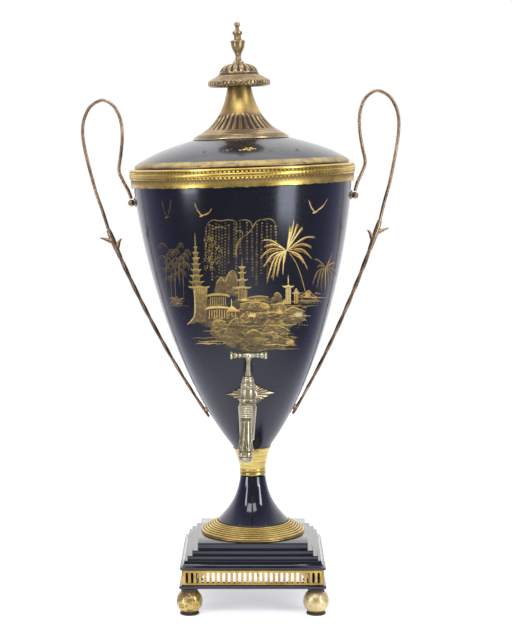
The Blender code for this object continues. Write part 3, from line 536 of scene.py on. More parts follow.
# %% Feet
FOOT_SPREAD = 0.0603
BALL_Z, BALL_R = 0.0126, 0.0124
PAD_Z, COLLAR_Z = 0.0019, 0.0231
CHIP_R = 0.0118
ball = [(BALL_R * math.cos(a), BALL_Z + BALL_R * math.sin(a))
        for a in np.linspace(math.radians(-57), math.radians(54), 26)]
foot_line = [*mm([(0, 0), (8.8, 0), (9.2, 0.4), (9.2, 1.3), (8.8, 1.7), (7, 1.9)]), *ball,
             *mm([(7.4, 23), (8.1, 23.5), (8.1, 25.2), (7.6, 25.8), (0, 25.8)])]


def foot_finish(name, worn, rough, *tones):
    finish = metal(name, *tones, rough, worn)
    z = finish.height(False)
    ends = (1 - z.above(PAD_Z, 0.0002)) + z.above(COLLAR_Z, 0.0002)
    colour = finish.mix(ends.clipped(), finish.colour, (0.030, 0.022, 0.018))
    return finish.give(Base_Color=colour, Metallic=(0.86 - finish.soil * 0.5 - ends).clipped(),
                       Roughness=finish.rough + ends * 0.3)


worn_foot = foot_finish("gilding_worn_foot", 1.9, 0.24, (0.76, 0.58, 0.22), (0.55, 0.39, 0.12),
                        (0.30, 0.19, 0.06))
dull_foot = foot_finish("gilding_feet", 0.5, 0.34, (0.80, 0.67, 0.38), (0.60, 0.48, 0.24),
                        (0.40, 0.29, 0.13))
for end, sy in (("front", -1), ("rear", 1)):
    for side, sx in (("left", -1), ("right", 1)):
        foot = turn(f"ball_foot_{end}_{side}", foot_line, 56)
        co = coordinates(foot)
        chips = random.Random(end + side)
        for chip in range(5):
            a, h = chips.uniform(0, math.tau), chips.uniform(0.005, 0.019)
            spot = np.array([CHIP_R * math.cos(a), CHIP_R * math.sin(a), h])
            near = np.linalg.norm(co - spot, axis=1) < chips.uniform(0.0014, 0.0026)
            near &= co[:, 2] > 0.003
            press(foot, near, 0.965)
        move(foot, upright @ Matrix.Translation((sx * FOOT_SPREAD, sy * FOOT_SPREAD, 0)))
        finish_piece(foot, worn_foot if (end, side) == ("front", "left") else dull_foot,
                     [f"foot_{end}_{side}"])

# %% [markdown]
# ## Square work
# The plinth is folded sheet, so it starts as a square plane. Its edge is extruded down a riser, out
# over a tread, and so on to the cove, like walking down the steps. The same walk makes the rail.


# %% Plinth and rail
def walk_square(name, steps, cap):
    """Steps are (half of the side, height) from the top down, starting with the top plane."""
    let_go()
    bpy.ops.mesh.primitive_plane_add(size=2 * steps[0][0], location=(0, 0, steps[0][1]))
    bpy.ops.object.transform_apply(location=True)
    bpy.ops.object.mode_set(mode="EDIT")
    bpy.ops.mesh.select_all(action="SELECT")
    if not cap:
        bpy.ops.mesh.delete(type="ONLY_FACE")
        bpy.ops.mesh.select_all(action="SELECT")
    else:
        bpy.ops.mesh.region_to_loop()
    for (half, height), (next_half, next_height) in zip(steps, steps[1:]):
        bpy.ops.mesh.extrude_region_move(TRANSFORM_OT_translate={"value": (0, 0, next_height - height)})
        ratio = next_half / half
        bpy.ops.transform.resize(value=(ratio, ratio, 1), center_override=(0, 0, next_height))
    return close_up(name)


MOULD_Z, MOULD_HALF = 0.0526, 0.0692
PLINTH_WALL = 0.0011
treads = mm([(52.5, 66.4), (52.5, 60.5), (57.6, 60.5), (57.6, 56.4), (62.1, 56.4), (62.1, 52.6),
             (65, 52.6)])
cove = [(MOULD_HALF - 0.0042 * math.cos(a), MOULD_Z - 0.0061 * math.sin(a))
        for a in np.linspace(0.15, math.pi / 2, 8)]
plinth_walk = [*treads, *cove, *mm([(69.2, 46.1), (69.2, 45.1), (68.8, 44.6), (67.9, 43.9)])]
plinth = walk_square("stepped_plinth", plinth_walk, True)
modify(plinth, "SOLIDIFY", thickness=PLINTH_WALL, offset=-1)
round_edges(plinth, 0.00035, 2)
modify(plinth, "SUBSURF", levels=2, render_levels=2, subdivision_type="SIMPLE")
finish_piece(move(plinth, upright), base_black, ["plinth"])

rail_walk = mm([(53.7, 29.1), (69, 29.1), (69.5, 28.9), (69.7, 28.4), (69.7, 26.8), (69.5, 26.3),
                (69, 26.1), (53.7, 26.1), (53.7, 29.1)])
rail = walk_square("bottom_rail", rail_walk, False)
round_edges(rail, 0.0003, 2)
modify(rail, "SUBSURF", levels=2, render_levels=2, subdivision_type="SIMPLE")
finish_piece(move(rail, upright), base_black, ["base_rail"])

# %% [markdown]
# ## Pierced gallery
# A strip of gilt sheet with a row of upright slots, through which the light from behind comes. The
# slots were punched one after another, so one rounded cutter is made, copied along the strip, and
# taken from it with a Boolean. Four strips stand round the plinth.

# %% Gallery
GALLERY_HALF, GALLERY_TALL, STRIP_THICK, POST = 0.0674, 0.0142, 0.0010, 0.0016
GALLERY_MID_Z = 0.0294 + GALLERY_TALL / 2
SLOTS, SLOT_STEP, SLOT_R, SLOT_STRETCH = 26, 0.0050, 0.00128, 0.0038


def box(x, y, wide, deep):
    """An upright piece of the gallery."""
    let_go()
    bpy.ops.mesh.primitive_cube_add(size=1, location=(x, y, GALLERY_MID_Z),
                                    scale=(wide, deep, GALLERY_TALL))
    bpy.ops.object.transform_apply(location=True, scale=True)
    return bpy.context.object


def slot_cutter(offset):
    let_go()
    bpy.ops.mesh.primitive_cylinder_add(vertices=16, radius=SLOT_R, depth=4 * STRIP_THICK,
                                        location=(0, 0, 0), rotation=(math.radians(90), 0, 0))
    bpy.ops.object.transform_apply(location=True, rotation=True)
    cutter = bpy.context.object
    up = coordinates(cutter)[:, 2]
    for half in (1, -1):
        choose(cutter, up * half > 0.00001)
        bpy.ops.transform.translate(value=(0, 0, SLOT_STRETCH * half))
    bpy.ops.object.mode_set(mode="OBJECT")
    cutter.location = (offset, STRIP_THICK / 2 - GALLERY_HALF, GALLERY_MID_Z)
    bpy.ops.object.transform_apply(location=True)
    return cutter


strip = box(0, STRIP_THICK / 2 - GALLERY_HALF, 2 * GALLERY_HALF - STRIP_THICK, STRIP_THICK)
punch = join("slot_punch",
             *[slot_cutter((slot - (SLOTS - 1) / 2) * SLOT_STEP) for slot in range(SLOTS)])
modify(strip, "BOOLEAN", operation="DIFFERENCE", object=punch, solver="EXACT")
bpy.data.objects.remove(punch)
round_edges(strip, 0.00018, 2, 40)
post = box(GALLERY_HALF - POST / 2, POST / 2 - GALLERY_HALF, POST, POST)
round_edges(post, 0.0005, 3)
strips = [join("strip", strip, post)]
for quarter in (1, 2, 3):
    take(strips[0])
    bpy.ops.object.duplicate()
    strips.append(move(bpy.context.object, Matrix.Rotation(math.radians(90 * quarter), 4, "Z")))
gallery = join("pierced_gallery", *strips)
gallery_gold = metal("gilding_gallery", (0.74, 0.52, 0.17), (0.55, 0.37, 0.10), (0.33, 0.20, 0.055),
                     0.28, 0.6)
finish_piece(move(gallery, upright), gallery_gold, ["gallery"])

# %% [markdown]
# ## Socle, flange and collar
# A black trumpet rises from a gilt flange of narrow rings and ends in the gilt collar that carries
# the body. The rings are close together, so the outline follows a wave.

# %% Flange
FLANGE_RINGS, RING_STEPS, RING_LIFT = 7, 8, 0.00085
FLANGE_IN_R, FLANGE_OUT_R = 0.0347, 0.0505
flange_top, flange_low = PLATE_Z + 0.0108, PLATE_Z + GAP
rings = []
for step in range(FLANGE_RINGS * RING_STEPS + 1):
    t = step / (FLANGE_RINGS * RING_STEPS)
    fall = (flange_low + 0.0016 - flange_top) * (0.86 * t + 0.14 * t * t)
    lift = RING_LIFT * abs(math.sin(math.pi * FLANGE_RINGS * t)) ** 0.55
    rings.append((FLANGE_IN_R + (FLANGE_OUT_R - FLANGE_IN_R) * t + lift * 0.50,
                  flange_top + fall + lift * 0.86))
flange_line = [(0.0334, flange_top), *rings,
               *mm([(50.9, 1), (51, 0.4), (50.7, 0), (48.6, 0)], flange_low),
               (0.0334, flange_top - 0.0024)]
flange = turn("ringed_flange", flange_line, 144, True)
co = coordinates(flange)
ring_share = (np.hypot(co[:, 0], co[:, 1]) - 0.0350) / (FLANGE_OUT_R - FLANGE_IN_R)
wave = np.abs(np.sin(np.pi * FLANGE_RINGS * ring_share))
# Painted shade: the valleys between the rings are darkened
hollows["ringed_flange"] = 0.55 * (1 - wave) ** 1.5
finish_piece(move(flange, upright), gilding, ["foot_flange"])

# %% Socle
SOCLE_R, NECK_R = 0.0344, 0.0125
socle_foot, socle_top = flange_top + GAP, NECK_Z - GAP - NECK_R * math.sin(LEAN)
tall, swell = socle_top - socle_foot, SOCLE_R - NECK_R
trumpet = bezier((SOCLE_R, socle_foot + tall * 0.03),
                 (SOCLE_R - swell * 0.63, socle_foot + tall * 0.34),
                 (NECK_R + swell * 0.13, socle_foot + tall * 0.55), (NECK_R, socle_top), 40)
socle_line = [(0, socle_top), *trumpet[::-1], (SOCLE_R, socle_foot), (SOCLE_R - 0.001, socle_foot),
              *[(r - 0.001, h) for r, h in trumpet[2:-3:3]], (0, socle_top - 0.0015)]
socle = turn("trumpet_socle", socle_line, 112)
finish_piece(move(socle, upright), base_black, ["socle"])

# %% Collar
collar_line = [*mm([(10.6, 0), (12.3, 0.2), (12.9, 0.8), (13, 2.2), (12.7, 3.1), (12.2, 3.4),
                    (12.1, 3.8), (12.6, 4.2), (13, 5.2), (12.9, 6.2), (12.5, 6.8)]),
               *bezier(*mm([(12.7, 7.4), (13.6, 13.5), (16.4, 23.6), (18.6, 27)]), 22),
               *mm([(18.9, 27.3), (18.9, 27.7), (18.6, 27.9), (17.7, 27.9), (10.6, 6.6)])]
collar = turn("neck_collar_gilt", collar_line, 96, True)
collar_gold = metal("gilding_collar", (0.80, 0.64, 0.24), (0.62, 0.47, 0.14), (0.42, 0.29, 0.07),
                    0.25, 0.3, (1, 1, 16))
finish_piece(move(collar, leaning), collar_gold, ["neck_collar"])

# %% [markdown]
# ## Body
# The body is raised from sheet 1 mm thick, hollow and open at the top. The outer line is one long
# curve. The inner line is the same curve moved inwards by the wall, so that the vessel is empty.


# %% Body
def moved_in(line, depth):
    moved = []
    for before, (r, h), after in zip([line[0], *line], line, [*line[1:], line[-1]]):
        along = Vector((after[0] - before[0], after[1] - before[1])).normalized()
        moved.append((r - along.y * depth, h + along.x * depth))
    return moved


inner_line = [point for point in moved_in(body_line, WALL) if point[1] > 0.0325]
vessel_line = [(0, BODY_H), (0.0186, BODY_H), *body_line, (SHOULDER_R, BODY_TOP_H),
               (SHOULDER_R - WALL, BODY_TOP_H), *inner_line[::-1], (0.0184, 0.0310), (0, 0.0310)]
vessel = turn("japanned_body", vessel_line, 208)
finish_piece(move(vessel, leaning), body_black, ["body"], soil=False)

# %% [markdown]
# ## Rim band
# The gilt band has a swelling bead between two rows of small dents, a plain part below, and a
# ragged lower edge where the gilding has flaked. It is turned, and every fourth upright line of
# points is then pressed in along the two rows.

# %% Rim band
BEADS = 171
SWELL_H, ROW_LOW_H, ROW_HIGH_H = 0.29565, 0.2927, 0.2983
ROW_HALF = 0.0008
seat, inside = SHOULDER_R + GAP, SHOULDER_R - 0.0033
swelling = [(0.10745 + 0.00135 * math.sin(a), SWELL_H - 0.0021 * math.cos(a))
            for a in np.linspace(0.25, math.pi - 0.25, 9)]
band_line = [(seat, SHOULDER_H), *mm([(106.9, 0), (107.1, 0.3)], SHOULDER_H),
             *mm([(107.1, 288), (107.1, 291.4), (107.3, 291.7)]),
             *mm([(107.95, -0.6), (108.2, 0), (107.95, 0.6)], ROW_LOW_H), *swelling,
             *mm([(107.95, -0.6), (108.2, 0), (107.9, 0.6), (107.8, 1)], ROW_HIGH_H),
             *mm([(108.3, 299.8), (108.1, 300.6)]), *mm([(107, -0.2), (106.2, 0)], BAND_TOP_H),
             (inside, BAND_TOP_H), (inside, BODY_TOP_H + GAP), (seat, BODY_TOP_H + GAP)]
band = turn("rim_band_gilt", band_line, BEADS * 4, True)
hollow, radius, up = lobes(band, BEADS)
in_rows = np.zeros(len(up), bool)
for row in (ROW_LOW_H, ROW_HIGH_H):
    in_row = np.abs(up - row) < ROW_HALF
    press(band, in_row & (hollow > 0.9) & (radius > 0.1075), 0.9885)
    in_rows |= in_row
press(band, (np.abs(up - SWELL_H) < 2 * ROW_HALF) & (hollow > 0.9) & (radius > 0.1080), 0.9988)
# Painted shade: the dents, and a little the rows they stand in, are darkened
hollows["rim_band_gilt"] = np.where(in_rows, np.where(hollow > 0.9, 0.75, 0.12), 0.0)

band_gold = metal("gilding_band", (0.88, 0.67, 0.20), (0.70, 0.49, 0.11), (0.46, 0.29, 0.06), 0.24,
                  0.25)
h = band_gold.height(True)
flaked = band_gold.noise(150, 4, 0.7, shift=9.0) * 0.0035 + (SHOULDER_H - 0.0013)
flaking = 1 - (h - flaked).above(0.0, 0.00008)
band_gold.give(Base_Color=band_gold.mix(flaking, band_gold.colour, (0.012, 0.012, 0.022)),
               Metallic=(0.86 - band_gold.soil * 0.5 - flaking).clipped(),
               Roughness=band_gold.rough - flaking * 0.05)
finish_piece(move(band, leaning), band_gold, ["rim_band"])

# %% [markdown]
# ## Lid
# A low dome of japanned sheet with a painted gold margin. The margin is only colour, so it is a
# mask in the finish: it follows the height above the lid's edge and wears away unevenly.

# %% Lid
LID_R, CROWN_R, LID_WALL, SKIRT_TALL = 0.1033, 0.0451, 0.0008, 0.011
lid_edge = LID_H + LID_EDGE
run = LID_R - CROWN_R
dome = bezier((LID_R - LID_WALL, lid_edge), (LID_R - 0.28 * run, lid_edge + 0.51 * LID_RISE),
              (CROWN_R + 0.33 * run, lid_edge + 0.76 * LID_RISE), (CROWN_R, CROWN_H), 36)
skirt = inside - 0.0006
lid_line = [(0, CROWN_H), *dome[::-1], *mm([(-0.2, 2), (0, 1.3), (-0.3, 0)], LID_H, LID_R),
            (skirt, LID_H), (skirt, LID_H - SKIRT_TALL), (skirt - LID_WALL, LID_H - SKIRT_TALL),
            (skirt - LID_WALL, lid_edge - LID_WALL),
            *[(r - 0.0003, h - LID_WALL) for r, h in dome[3::3] if r < skirt - 2 * LID_WALL],
            (0, CROWN_H - LID_WALL)]
lid = turn("domed_lid", lid_line, 192)
lid_black = japan("japan_lid", (0.4, 0.4, 1), 0.20, 0.00002)
h = lid_black.height(True)
margin_wear = lid_black.noise(95, 4, 0.65, shift=6.0)
margin = 1 - (h + margin_wear * 0.0016).above(LID_H + 0.0068, 0.0007)
margin = margin * h.above(LID_H + 0.0010, 0.0003)
margin = margin * (1 - (margin_wear - 0.60).above(0.0, 0.04) * 0.6)
gold_margin = lid_black.ramp(lid_black.noise(70, 4, 0.6),
                             [(0.35, (0.30, 0.21, 0.08)), (0.62, (0.56, 0.42, 0.16))])
lid_black.give(Base_Color=lid_black.mix(margin, lid_black.given("Base Color"), gold_margin),
               Metallic=margin * 0.75, Roughness=lid_black.given("Roughness") + margin * 0.16,
               Coat_Weight=0.35 - margin * 0.3)
finish_piece(move(lid, leaning), lid_black, ["lid"], soil=False)

# %% [markdown]
# ## Cone, dish and knop
# The brass finial. Its cone flares out to a ringed foot and is fluted half way up, with rounded
# ends to the flutes. The cone is turned with eight upright lines to each flute, and the lines are
# pressed in by how far they lie in the flute and how close they are to its end.

# %% Cone
FLUTES, FLUTE_DEPTH = 30, 0.00135
WAIST_R, THROAT_R, CONE_WALL = 0.0403, 0.0113, 0.0016
ring_top, throat_top = CONE_H + 0.0042, CONE_H + CONE_TALL
flute_low, flute_high = CONE_H + 0.0083, CONE_H + 0.0228
draw_in, climb = WAIST_R - THROAT_R, 0.0447
whole = bezier((WAIST_R, ring_top), (WAIST_R - 0.63 * draw_in, ring_top + 0.20 * climb),
               (THROAT_R + 0.10 * draw_in, ring_top + 0.60 * climb), (THROAT_R, throat_top), 150)


def low_wave(heights):
    """The low rings under the flutes: a wave over the height, from 0 to 1."""
    return np.abs(np.sin((heights - ring_top) / (flute_low - ring_top) * np.pi * 2.5))


flare = [(r + (0.00030 * float(low_wave(h)) if h < flute_low else 0), h)
         for r, h in whole[:26] + whole[26::4]]
flare_h, flare_r = [h for r, h in flare], [r for r, h in flare]
foot_rings = mm([(40.4, -0.3), (41.2, -0.2), (41.9, -0.6), (42.1, -1.2), (42.4, -1.4), (43.6, -1.6),
                 (44.1, -2.2), (44.2, -2.6), (44.6, -2.8), (45.8, -3), (46.2, -3.5)], ring_top)
cone_line = [(0, throat_top), *flare[::-1], *foot_rings, *mm([(46.2, 0), (38.7, 0)], CONE_H),
             *[(r - CONE_WALL, h) for r, h in flare[6:-3:6]], (0, throat_top - CONE_WALL)]
cone = turn("fluted_cone", cone_line, FLUTES * 8)
hollow, radius, up = lobes(cone, FLUTES)
outside = np.abs(radius - np.interp(up, flare_h, flare_r)) < 0.0006
sunk = np.zeros(len(up))
for ring in sorted(set(np.round([h for h in flare_h if flute_low < h < flute_high], 6))):
    at_ring = outside & (np.abs(up - ring) < 0.00001)
    left = min((flute_high - ring) / 0.0040, (ring - flute_low) / 0.0012 + 0.3, 1.0)
    for share in (0.25, 0.5, 0.75, 1.0):
        line = at_ring & (np.abs(hollow - share) < 0.06)
        depth = math.sqrt(max(left, 0)) * math.sin(share * math.pi / 2) * (share > 0.3 * (2 - left))
        sunk[line] = 0.66 * max(share - 0.5, 0) * 2 * depth
        press(cone, line, 1 - FLUTE_DEPTH * depth / float(np.interp(ring, flare_h, flare_r)))
low_rings = outside & (up < flute_low) & (up > ring_top)
sunk[low_rings] = 0.30 * (1 - low_wave(up[low_rings])) ** 2
# Painted shade: the flutes and the valleys of the low rings are darkened
hollows["fluted_cone"] = sunk
cone_brass = metal("old_brass_cone", (0.60, 0.45, 0.22), (0.40, 0.28, 0.13), (0.19, 0.12, 0.06),
                   0.27, 0.5, shade_and_stain_colour=(0.040, 0.022, 0.026))
golden = cone_brass.height(True).above(flute_high + 0.001, 0.0016)
throat_gold = cone_brass.ramp(cone_brass.noise(38, 3, 0.6, shift=2.0),
                              [(0.36, (0.40, 0.26, 0.08)), (0.64, (0.78, 0.57, 0.18))])
cone_brass.give(Base_Color=cone_brass.mix(golden * 0.85, cone_brass.colour, throat_gold),
                Roughness=cone_brass.rough + golden * 0.10)
finish_piece(move(cone, leaning), cone_brass, ["lid_cone"], angle=40)

# %% Dish
dish_top, dome_h = DISH_H + DISH_TALL, DISH_H + 0.01215
gadroon = [(0.0057 + 0.0128 * math.cos(a), dome_h + 0.0093 * math.sin(a))
           for a in np.linspace(0.0, 1.40, 14)]
dish_line = [*mm([(0, 0), (11, 0), (12.5, 0.8), (15, 1.3), (24, 1.1), (26.4, 0.6), (27.4, -0.2),
                  (28.4, -0.2), (29.1, 0.4), (29.6, 1.4), (29.7, 2.2), (29.7, 3.4), (29.6, 4.6),
                  (29.2, 5.2), (28.6, 5.6), (27.8, 6.6), (26.2, 7), (25.7, 7.5), (25, 7.8),
                  (24.3, 7.7), (24, 8), (23.3, 8.8), (22.6, 9), (22.1, 8.9), (21.8, 9.5),
                  (20.9, 10.3), (20.1, 10.4), (19.6, 10.9)], DISH_H), (0.0189, dome_h - 0.0006),
             *gadroon, *mm([(6.6, -0.6), (6, 0), (0, 0)], dish_top)]
dish = turn("finial_dish_brass", dish_line, 192)
hollow, radius, up = lobes(dish, 48)
reeds = (radius > 0.0295) & (up > DISH_H + 0.001) & (up < DISH_H + 0.0048) & (hollow > 0.9)
press(dish, reeds, 0.980)
sunk = np.where(reeds, 0.6, 0.0)
hollow, radius, up = lobes(dish, 16)
for share in (0.5, 2 / 3, 5 / 6, 1.0):
    fold = (up > dome_h) & (radius < 0.0184) & (radius > 0.0072) & (np.abs(hollow - share) < 0.05)
    press(dish, fold, 1 - 0.085 * (share - 0.4) / 0.6)
    sunk[fold] = 0.55 * (share - 0.4) / 0.6
# Painted shade: the reeds and the folds of the gadroons are darkened
hollows["finial_dish_brass"] = sunk
finish_piece(move(dish, leaning), old_brass, ["finial_dish"])

# %% Knop
# Shares of the widest radius and of the whole height
KNOP_R = 0.0071
knop_shape = [(0.78, 0.0), (0.80, 0.012), (0.72, 0.03), (0.56, 0.05), (0.44, 0.08), (0.37, 0.12),
              (0.35, 0.16), (0.38, 0.19), (0.46, 0.21), (0.43, 0.225), (0.50, 0.25), (0.66, 0.30),
              (0.79, 0.35), (0.88, 0.40), (0.93, 0.45), (0.95, 0.495), (0.99, 0.51), (1.0, 0.525),
              (0.97, 0.54), (0.80, 0.552), (0.58, 0.565), (0.49, 0.59), (0.46, 0.63), (0.48, 0.67),
              (0.60, 0.69), (0.67, 0.71), (0.68, 0.735), (0.64, 0.76), (0.48, 0.778), (0.30, 0.80),
              (0.25, 0.83), (0.25, 0.865), (0.31, 0.885), (0.37, 0.91), (0.395, 0.94), (0.37, 0.97),
              (0.26, 0.99), (0.10, 1.0), (0, 1.0)]
knop = turn("vase_knop",
            [(0, KNOP_H)] + [(r * KNOP_R, KNOP_H + h * KNOP_TALL) for r, h in knop_shape], 48)
finish_piece(move(knop, leaning), old_brass, ["finial_knop"])

# %% [markdown]
# ## Handles
# Each handle is a bronze rod bent from a lug under the rim band, round a high loop and down to a
# leaf sheath, below which a thicker twisted stem follows the belly. A curve carries the rod, and a
# lobed outline with a growing tilt gives the twist of the stem.


# %% Rods
def smooth(points, steps):
    padded = [points[0], *points, points[-1]]
    curve = []
    for before, start, end, after in zip(padded, padded[1:], padded[2:], padded[3:]):
        for step in range(steps):
            t = step / steps
            curve.append(tuple(0.5 * (2 * b + (c - a) * t + (2 * a - 5 * b + 4 * c - d) * t * t
                                      + (3 * b - a - 3 * c + d) * t ** 3)
                               for a, b, c, d in zip(before, start, end, after)))
    curve.append(tuple(points[-1]))
    return curve


def rod(name, stations, lobed=False, twist=0.0):
    """A rod along stations (x, y, z, radius), round or lobed and twisted."""
    line = bpy.data.curves.new(name, "CURVE")
    line.dimensions = "3D"
    spline = line.splines.new("POLY")
    spline.points.add(len(stations) - 1)
    for index, (point, (x, y, z, r)) in enumerate(zip(spline.points, stations)):
        point.co = (x, y, z, 1)
        point.radius = r
        point.tilt = twist * index / len(stations)
    line.twist_mode = "MINIMUM"
    line.use_fill_caps = True
    shape = None
    if lobed:
        outline = bpy.data.curves.new("rod_outline", "CURVE")
        outline.dimensions = "2D"
        ring = outline.splines.new("POLY")
        ring.points.add(23)
        ring.use_cyclic_u = True
        for index, point in enumerate(ring.points):
            angle = -math.tau * index / 24
            reach = 0.86 + 0.14 * math.cos(4 * angle)
            point.co = (reach * math.cos(angle), reach * math.sin(angle), 0, 1)
        shape = bpy.data.objects.new("rod_outline", outline)
        bpy.context.scene.collection.objects.link(shape)
        line.bevel_mode = "OBJECT"
        line.bevel_object = shape
    else:
        line.bevel_depth = 1.0
        line.bevel_resolution = 3
    piece = bpy.data.objects.new(name, line)
    bpy.context.scene.collection.objects.link(piece)
    take(piece)
    bpy.ops.object.convert(target="MESH")
    if shape:
        bpy.data.objects.remove(shape)
    bpy.ops.object.mode_set(mode="EDIT")
    return close_up(name)


LUG_H, SHEATH_H, TIP_H, BOLT_H = 0.2700, 0.2440, 0.0585, 0.0660
ROD_R, STEM_R = 0.0016, 0.0023
SHEATH_OUT, TIP_OUT, STEM_BEND = 0.0314, 0.0029, 1.3
LUG_REACH, LUG_BALL_R = 0.0075, 0.0033
HANDLE_LOOP = mm([(5.6, -2.4), (10.5, 7.5), (13.6, 17.2), (11.3, 31), (9.3, 46), (9.2, 59),
                  (11.5, 69.8), (16.6, 79), (26.7, 84.4), (38.2, 78.8), (44.5, 68), (46.8, 57),
                  (46.4, 45), (44.2, 31), (40.7, 14), (36.2, -5), (30.8, -22.5)])
lug_out = body_radius(LUG_H) + GAP + LUG_REACH - LUG_BALL_R
sheath_out = body_radius(SHEATH_H) + SHEATH_OUT
route = [(lug_out, LUG_H + 0.0036), *[(SHOULDER_R + q, SHOULDER_H + u) for q, u in HANDLE_LOOP],
         (sheath_out, SHEATH_H)]
loop_route = [(q, 0, u, ROD_R) for q, u in smooth(route, 6)]


def stem_station(height):
    share = max((height - TIP_H) / (SHEATH_H - TIP_H), 0)
    away = TIP_OUT + (SHEATH_OUT - TIP_OUT) * share ** STEM_BEND
    return body_radius(height) + away, 0, height, ROD_R + (STEM_R - ROD_R) * share


stem_route = [stem_station(SHEATH_H + (TIP_H - SHEATH_H) * step / 90) for step in range(91)]


def thorn(reach, root_drop, rise):
    """A leaf tip that grows up out of the stem."""
    points = []
    for out, up, thick in ((0, 0, 0.8), (0.12, 0.22, 0.95), (0.28, 0.42, 0.92), (0.60, 0.75, 0.64),
                           (0.85, 0.93, 0.40), (1, 1, 0.22)):
        height = SHEATH_H - root_drop + rise * up
        points.append((stem_station(height)[0] + reach * out, height, thick * STEM_R))
    return rod("thorn", [(q, 0, u, r) for q, u, r in smooth(points, 4)])


def sheath():
    """The leaf sheath: the stem swells a little under the two thorns and closes round the rod."""
    stations = []
    for drop, swell in ((-0.0010, 1.0), (0.0030, 1.12), (0.0080, 1.22), (0.0120, 1.24),
                        (0.0170, 1.18), (0.0220, 1.08), (0.0270, 0.98)):
        out, _, height, thick = stem_station(SHEATH_H - max(drop, 0))
        stations.append((out, height + max(-drop, 0), (thick if drop > 0 else ROD_R) * swell))
    return rod("sheath", [(q, 0, u, r) for q, u, r in smooth(stations, 4)])


def on_wall(height, away, step):
    """Stands a turned piece on the body's wall at the right, its axis square to the wall."""
    slope = math.atan2(body_radius(height + step) - body_radius(height - step), 2 * step)
    return (Matrix.Translation((body_radius(height) + away, 0, height))
            @ Matrix.Rotation(math.radians(90) + slope, 4, "Y"))


def bolt():
    head = turn("bolt",
                mm([(0, 3), (1.2, 2.9), (1.8, 2.3), (1.9, 1.6), (2.7, 1.3), (2.9, 0.8), (2.9, 0),
                    (0, 0)]), 24)
    return move(head, on_wall(BOLT_H, 0.0001, 0.002))


# %% Handles and lugs
for side, mirror in (("left", -1), ("right", 1)):
    handle = join("handle_rod_" + side, rod("loop", loop_route), rod("stem", stem_route, True, 15.0),
                  thorn(0.0113, 0.0125, 0.0053), thorn(-0.0092, 0.0200, 0.0115), sheath(), bolt())
    lug = turn("rod_lug_" + side,
               mm([(0, 0), (4.4, 0), (4.6, 0.3), (4.6, 0.8), (4.1, 1.2), (3, 1.6), (2.6, 2),
                   (2.6, 2.4), (3.1, 3.2), (3.3, 4.2), (3.1, 5.4), (2.4, 6.6), (1.2, 7.3),
                   (0, 7.5)]), 40)
    move(lug, on_wall(LUG_H, GAP, 0.001))
    for piece in (handle, lug):
        if mirror < 0:
            move(piece, Matrix.Rotation(math.pi, 4, "Z"))
        move(piece, leaning)
    finish_piece(handle, handle_bronze, ["handle_" + side], angle=45)
    finish_piece(lug, old_brass, ["handle_lug_" + side])

# %% [markdown]
# ## Star plate
# A lozenge of sheet brass with raised rays lies on the body behind the tap. It starts as a disc
# with six rings of points. The points are drawn out to the lozenge, every second spoke is sunk
# between the rays, and the whole is laid on the body's curve.

# %% Star plate
RAYS = 28
PLATE_RINGS = (0.2, 0.4, 0.6, 0.8, 0.92, 1.0)
PLATE_HALF, PLATE_HALF_TALL, PLATE_ROUND = 0.0249, 0.0164, 0.8
let_go()
bpy.ops.mesh.primitive_circle_add(vertices=RAYS * 4, radius=PLATE_RINGS[0], fill_type="TRIFAN",
                                  location=(0, 0, 0))
bpy.ops.object.mode_set(mode="EDIT")
bpy.ops.mesh.select_all(action="SELECT")
bpy.ops.mesh.region_to_loop()
for before, share in zip(PLATE_RINGS, PLATE_RINGS[1:]):
    bpy.ops.mesh.extrude_region_move(TRANSFORM_OT_translate={"value": (0, 0, 0)})
    bpy.ops.transform.resize(value=(share / before, share / before, 1), center_override=(0, 0, 0))
bpy.ops.object.mode_set(mode="OBJECT")
plate = bpy.context.object
sunk = []
for vert in plate.data.vertices:
    reach = math.hypot(vert.co.x, vert.co.y)
    angle = math.atan2(vert.co.y, vert.co.x)
    wide = (abs(math.cos(angle)) / PLATE_HALF) ** PLATE_ROUND
    high = (abs(math.sin(angle)) / PLATE_HALF_TALL) ** PLATE_ROUND
    edge = (wide + high) ** (-1 / PLATE_ROUND)
    ray = abs((angle / math.tau * RAYS) % 1.0 * 2 - 1)
    reach_out = edge * reach * (1 - 0.11 * (1 - ray) * reach)
    sunk.append(0.45 * (1 - ray) * min(reach * 2, 1))
    away = 0.0012 + 0.0016 * (1 - reach) ** 1.5 + 0.0008 * (ray - 0.5) * min(reach * 1.6, 1.0)
    if reach > 0.99:
        away = 0.0002
    height = TAP_H + reach_out * math.sin(angle)
    radius = body_radius(height) + GAP + max(away, 0.0001)
    turned = (TAP_SIDE + reach_out * math.cos(angle)) / radius
    vert.co = (radius * math.sin(turned), -radius * math.cos(turned), height)
# Painted shade: the sunk spokes between the rays are darkened
hollows["rayed_plate"] = np.array(sunk)
choose(plate, np.ones(len(plate.data.vertices), bool))
bpy.ops.mesh.normals_make_consistent(inside=False)
bpy.ops.object.mode_set(mode="OBJECT")
if plate.data.polygons[0].normal.y > 0:
    plate.data.flip_normals()
plate.name = plate.data.name = "rayed_plate"
star_brass = metal("star_brass", (0.84, 0.76, 0.48), (0.62, 0.52, 0.31), (0.33, 0.24, 0.16), 0.26, 0.4,
                               shade_and_stain_colour=(0.09, 0.050, 0.042))
finish_piece(move(plate, leaning), star_brass, ["tap_plate"])

# %% [markdown]
# ## Tap
# The tap body is cast and turned: a tail through the wall, an upright barrel with a ring, and a
# spout that drops from a short bridge and flares to a ringed nozzle. Each is turned by itself,
# laid on its own axis and joined to the others.

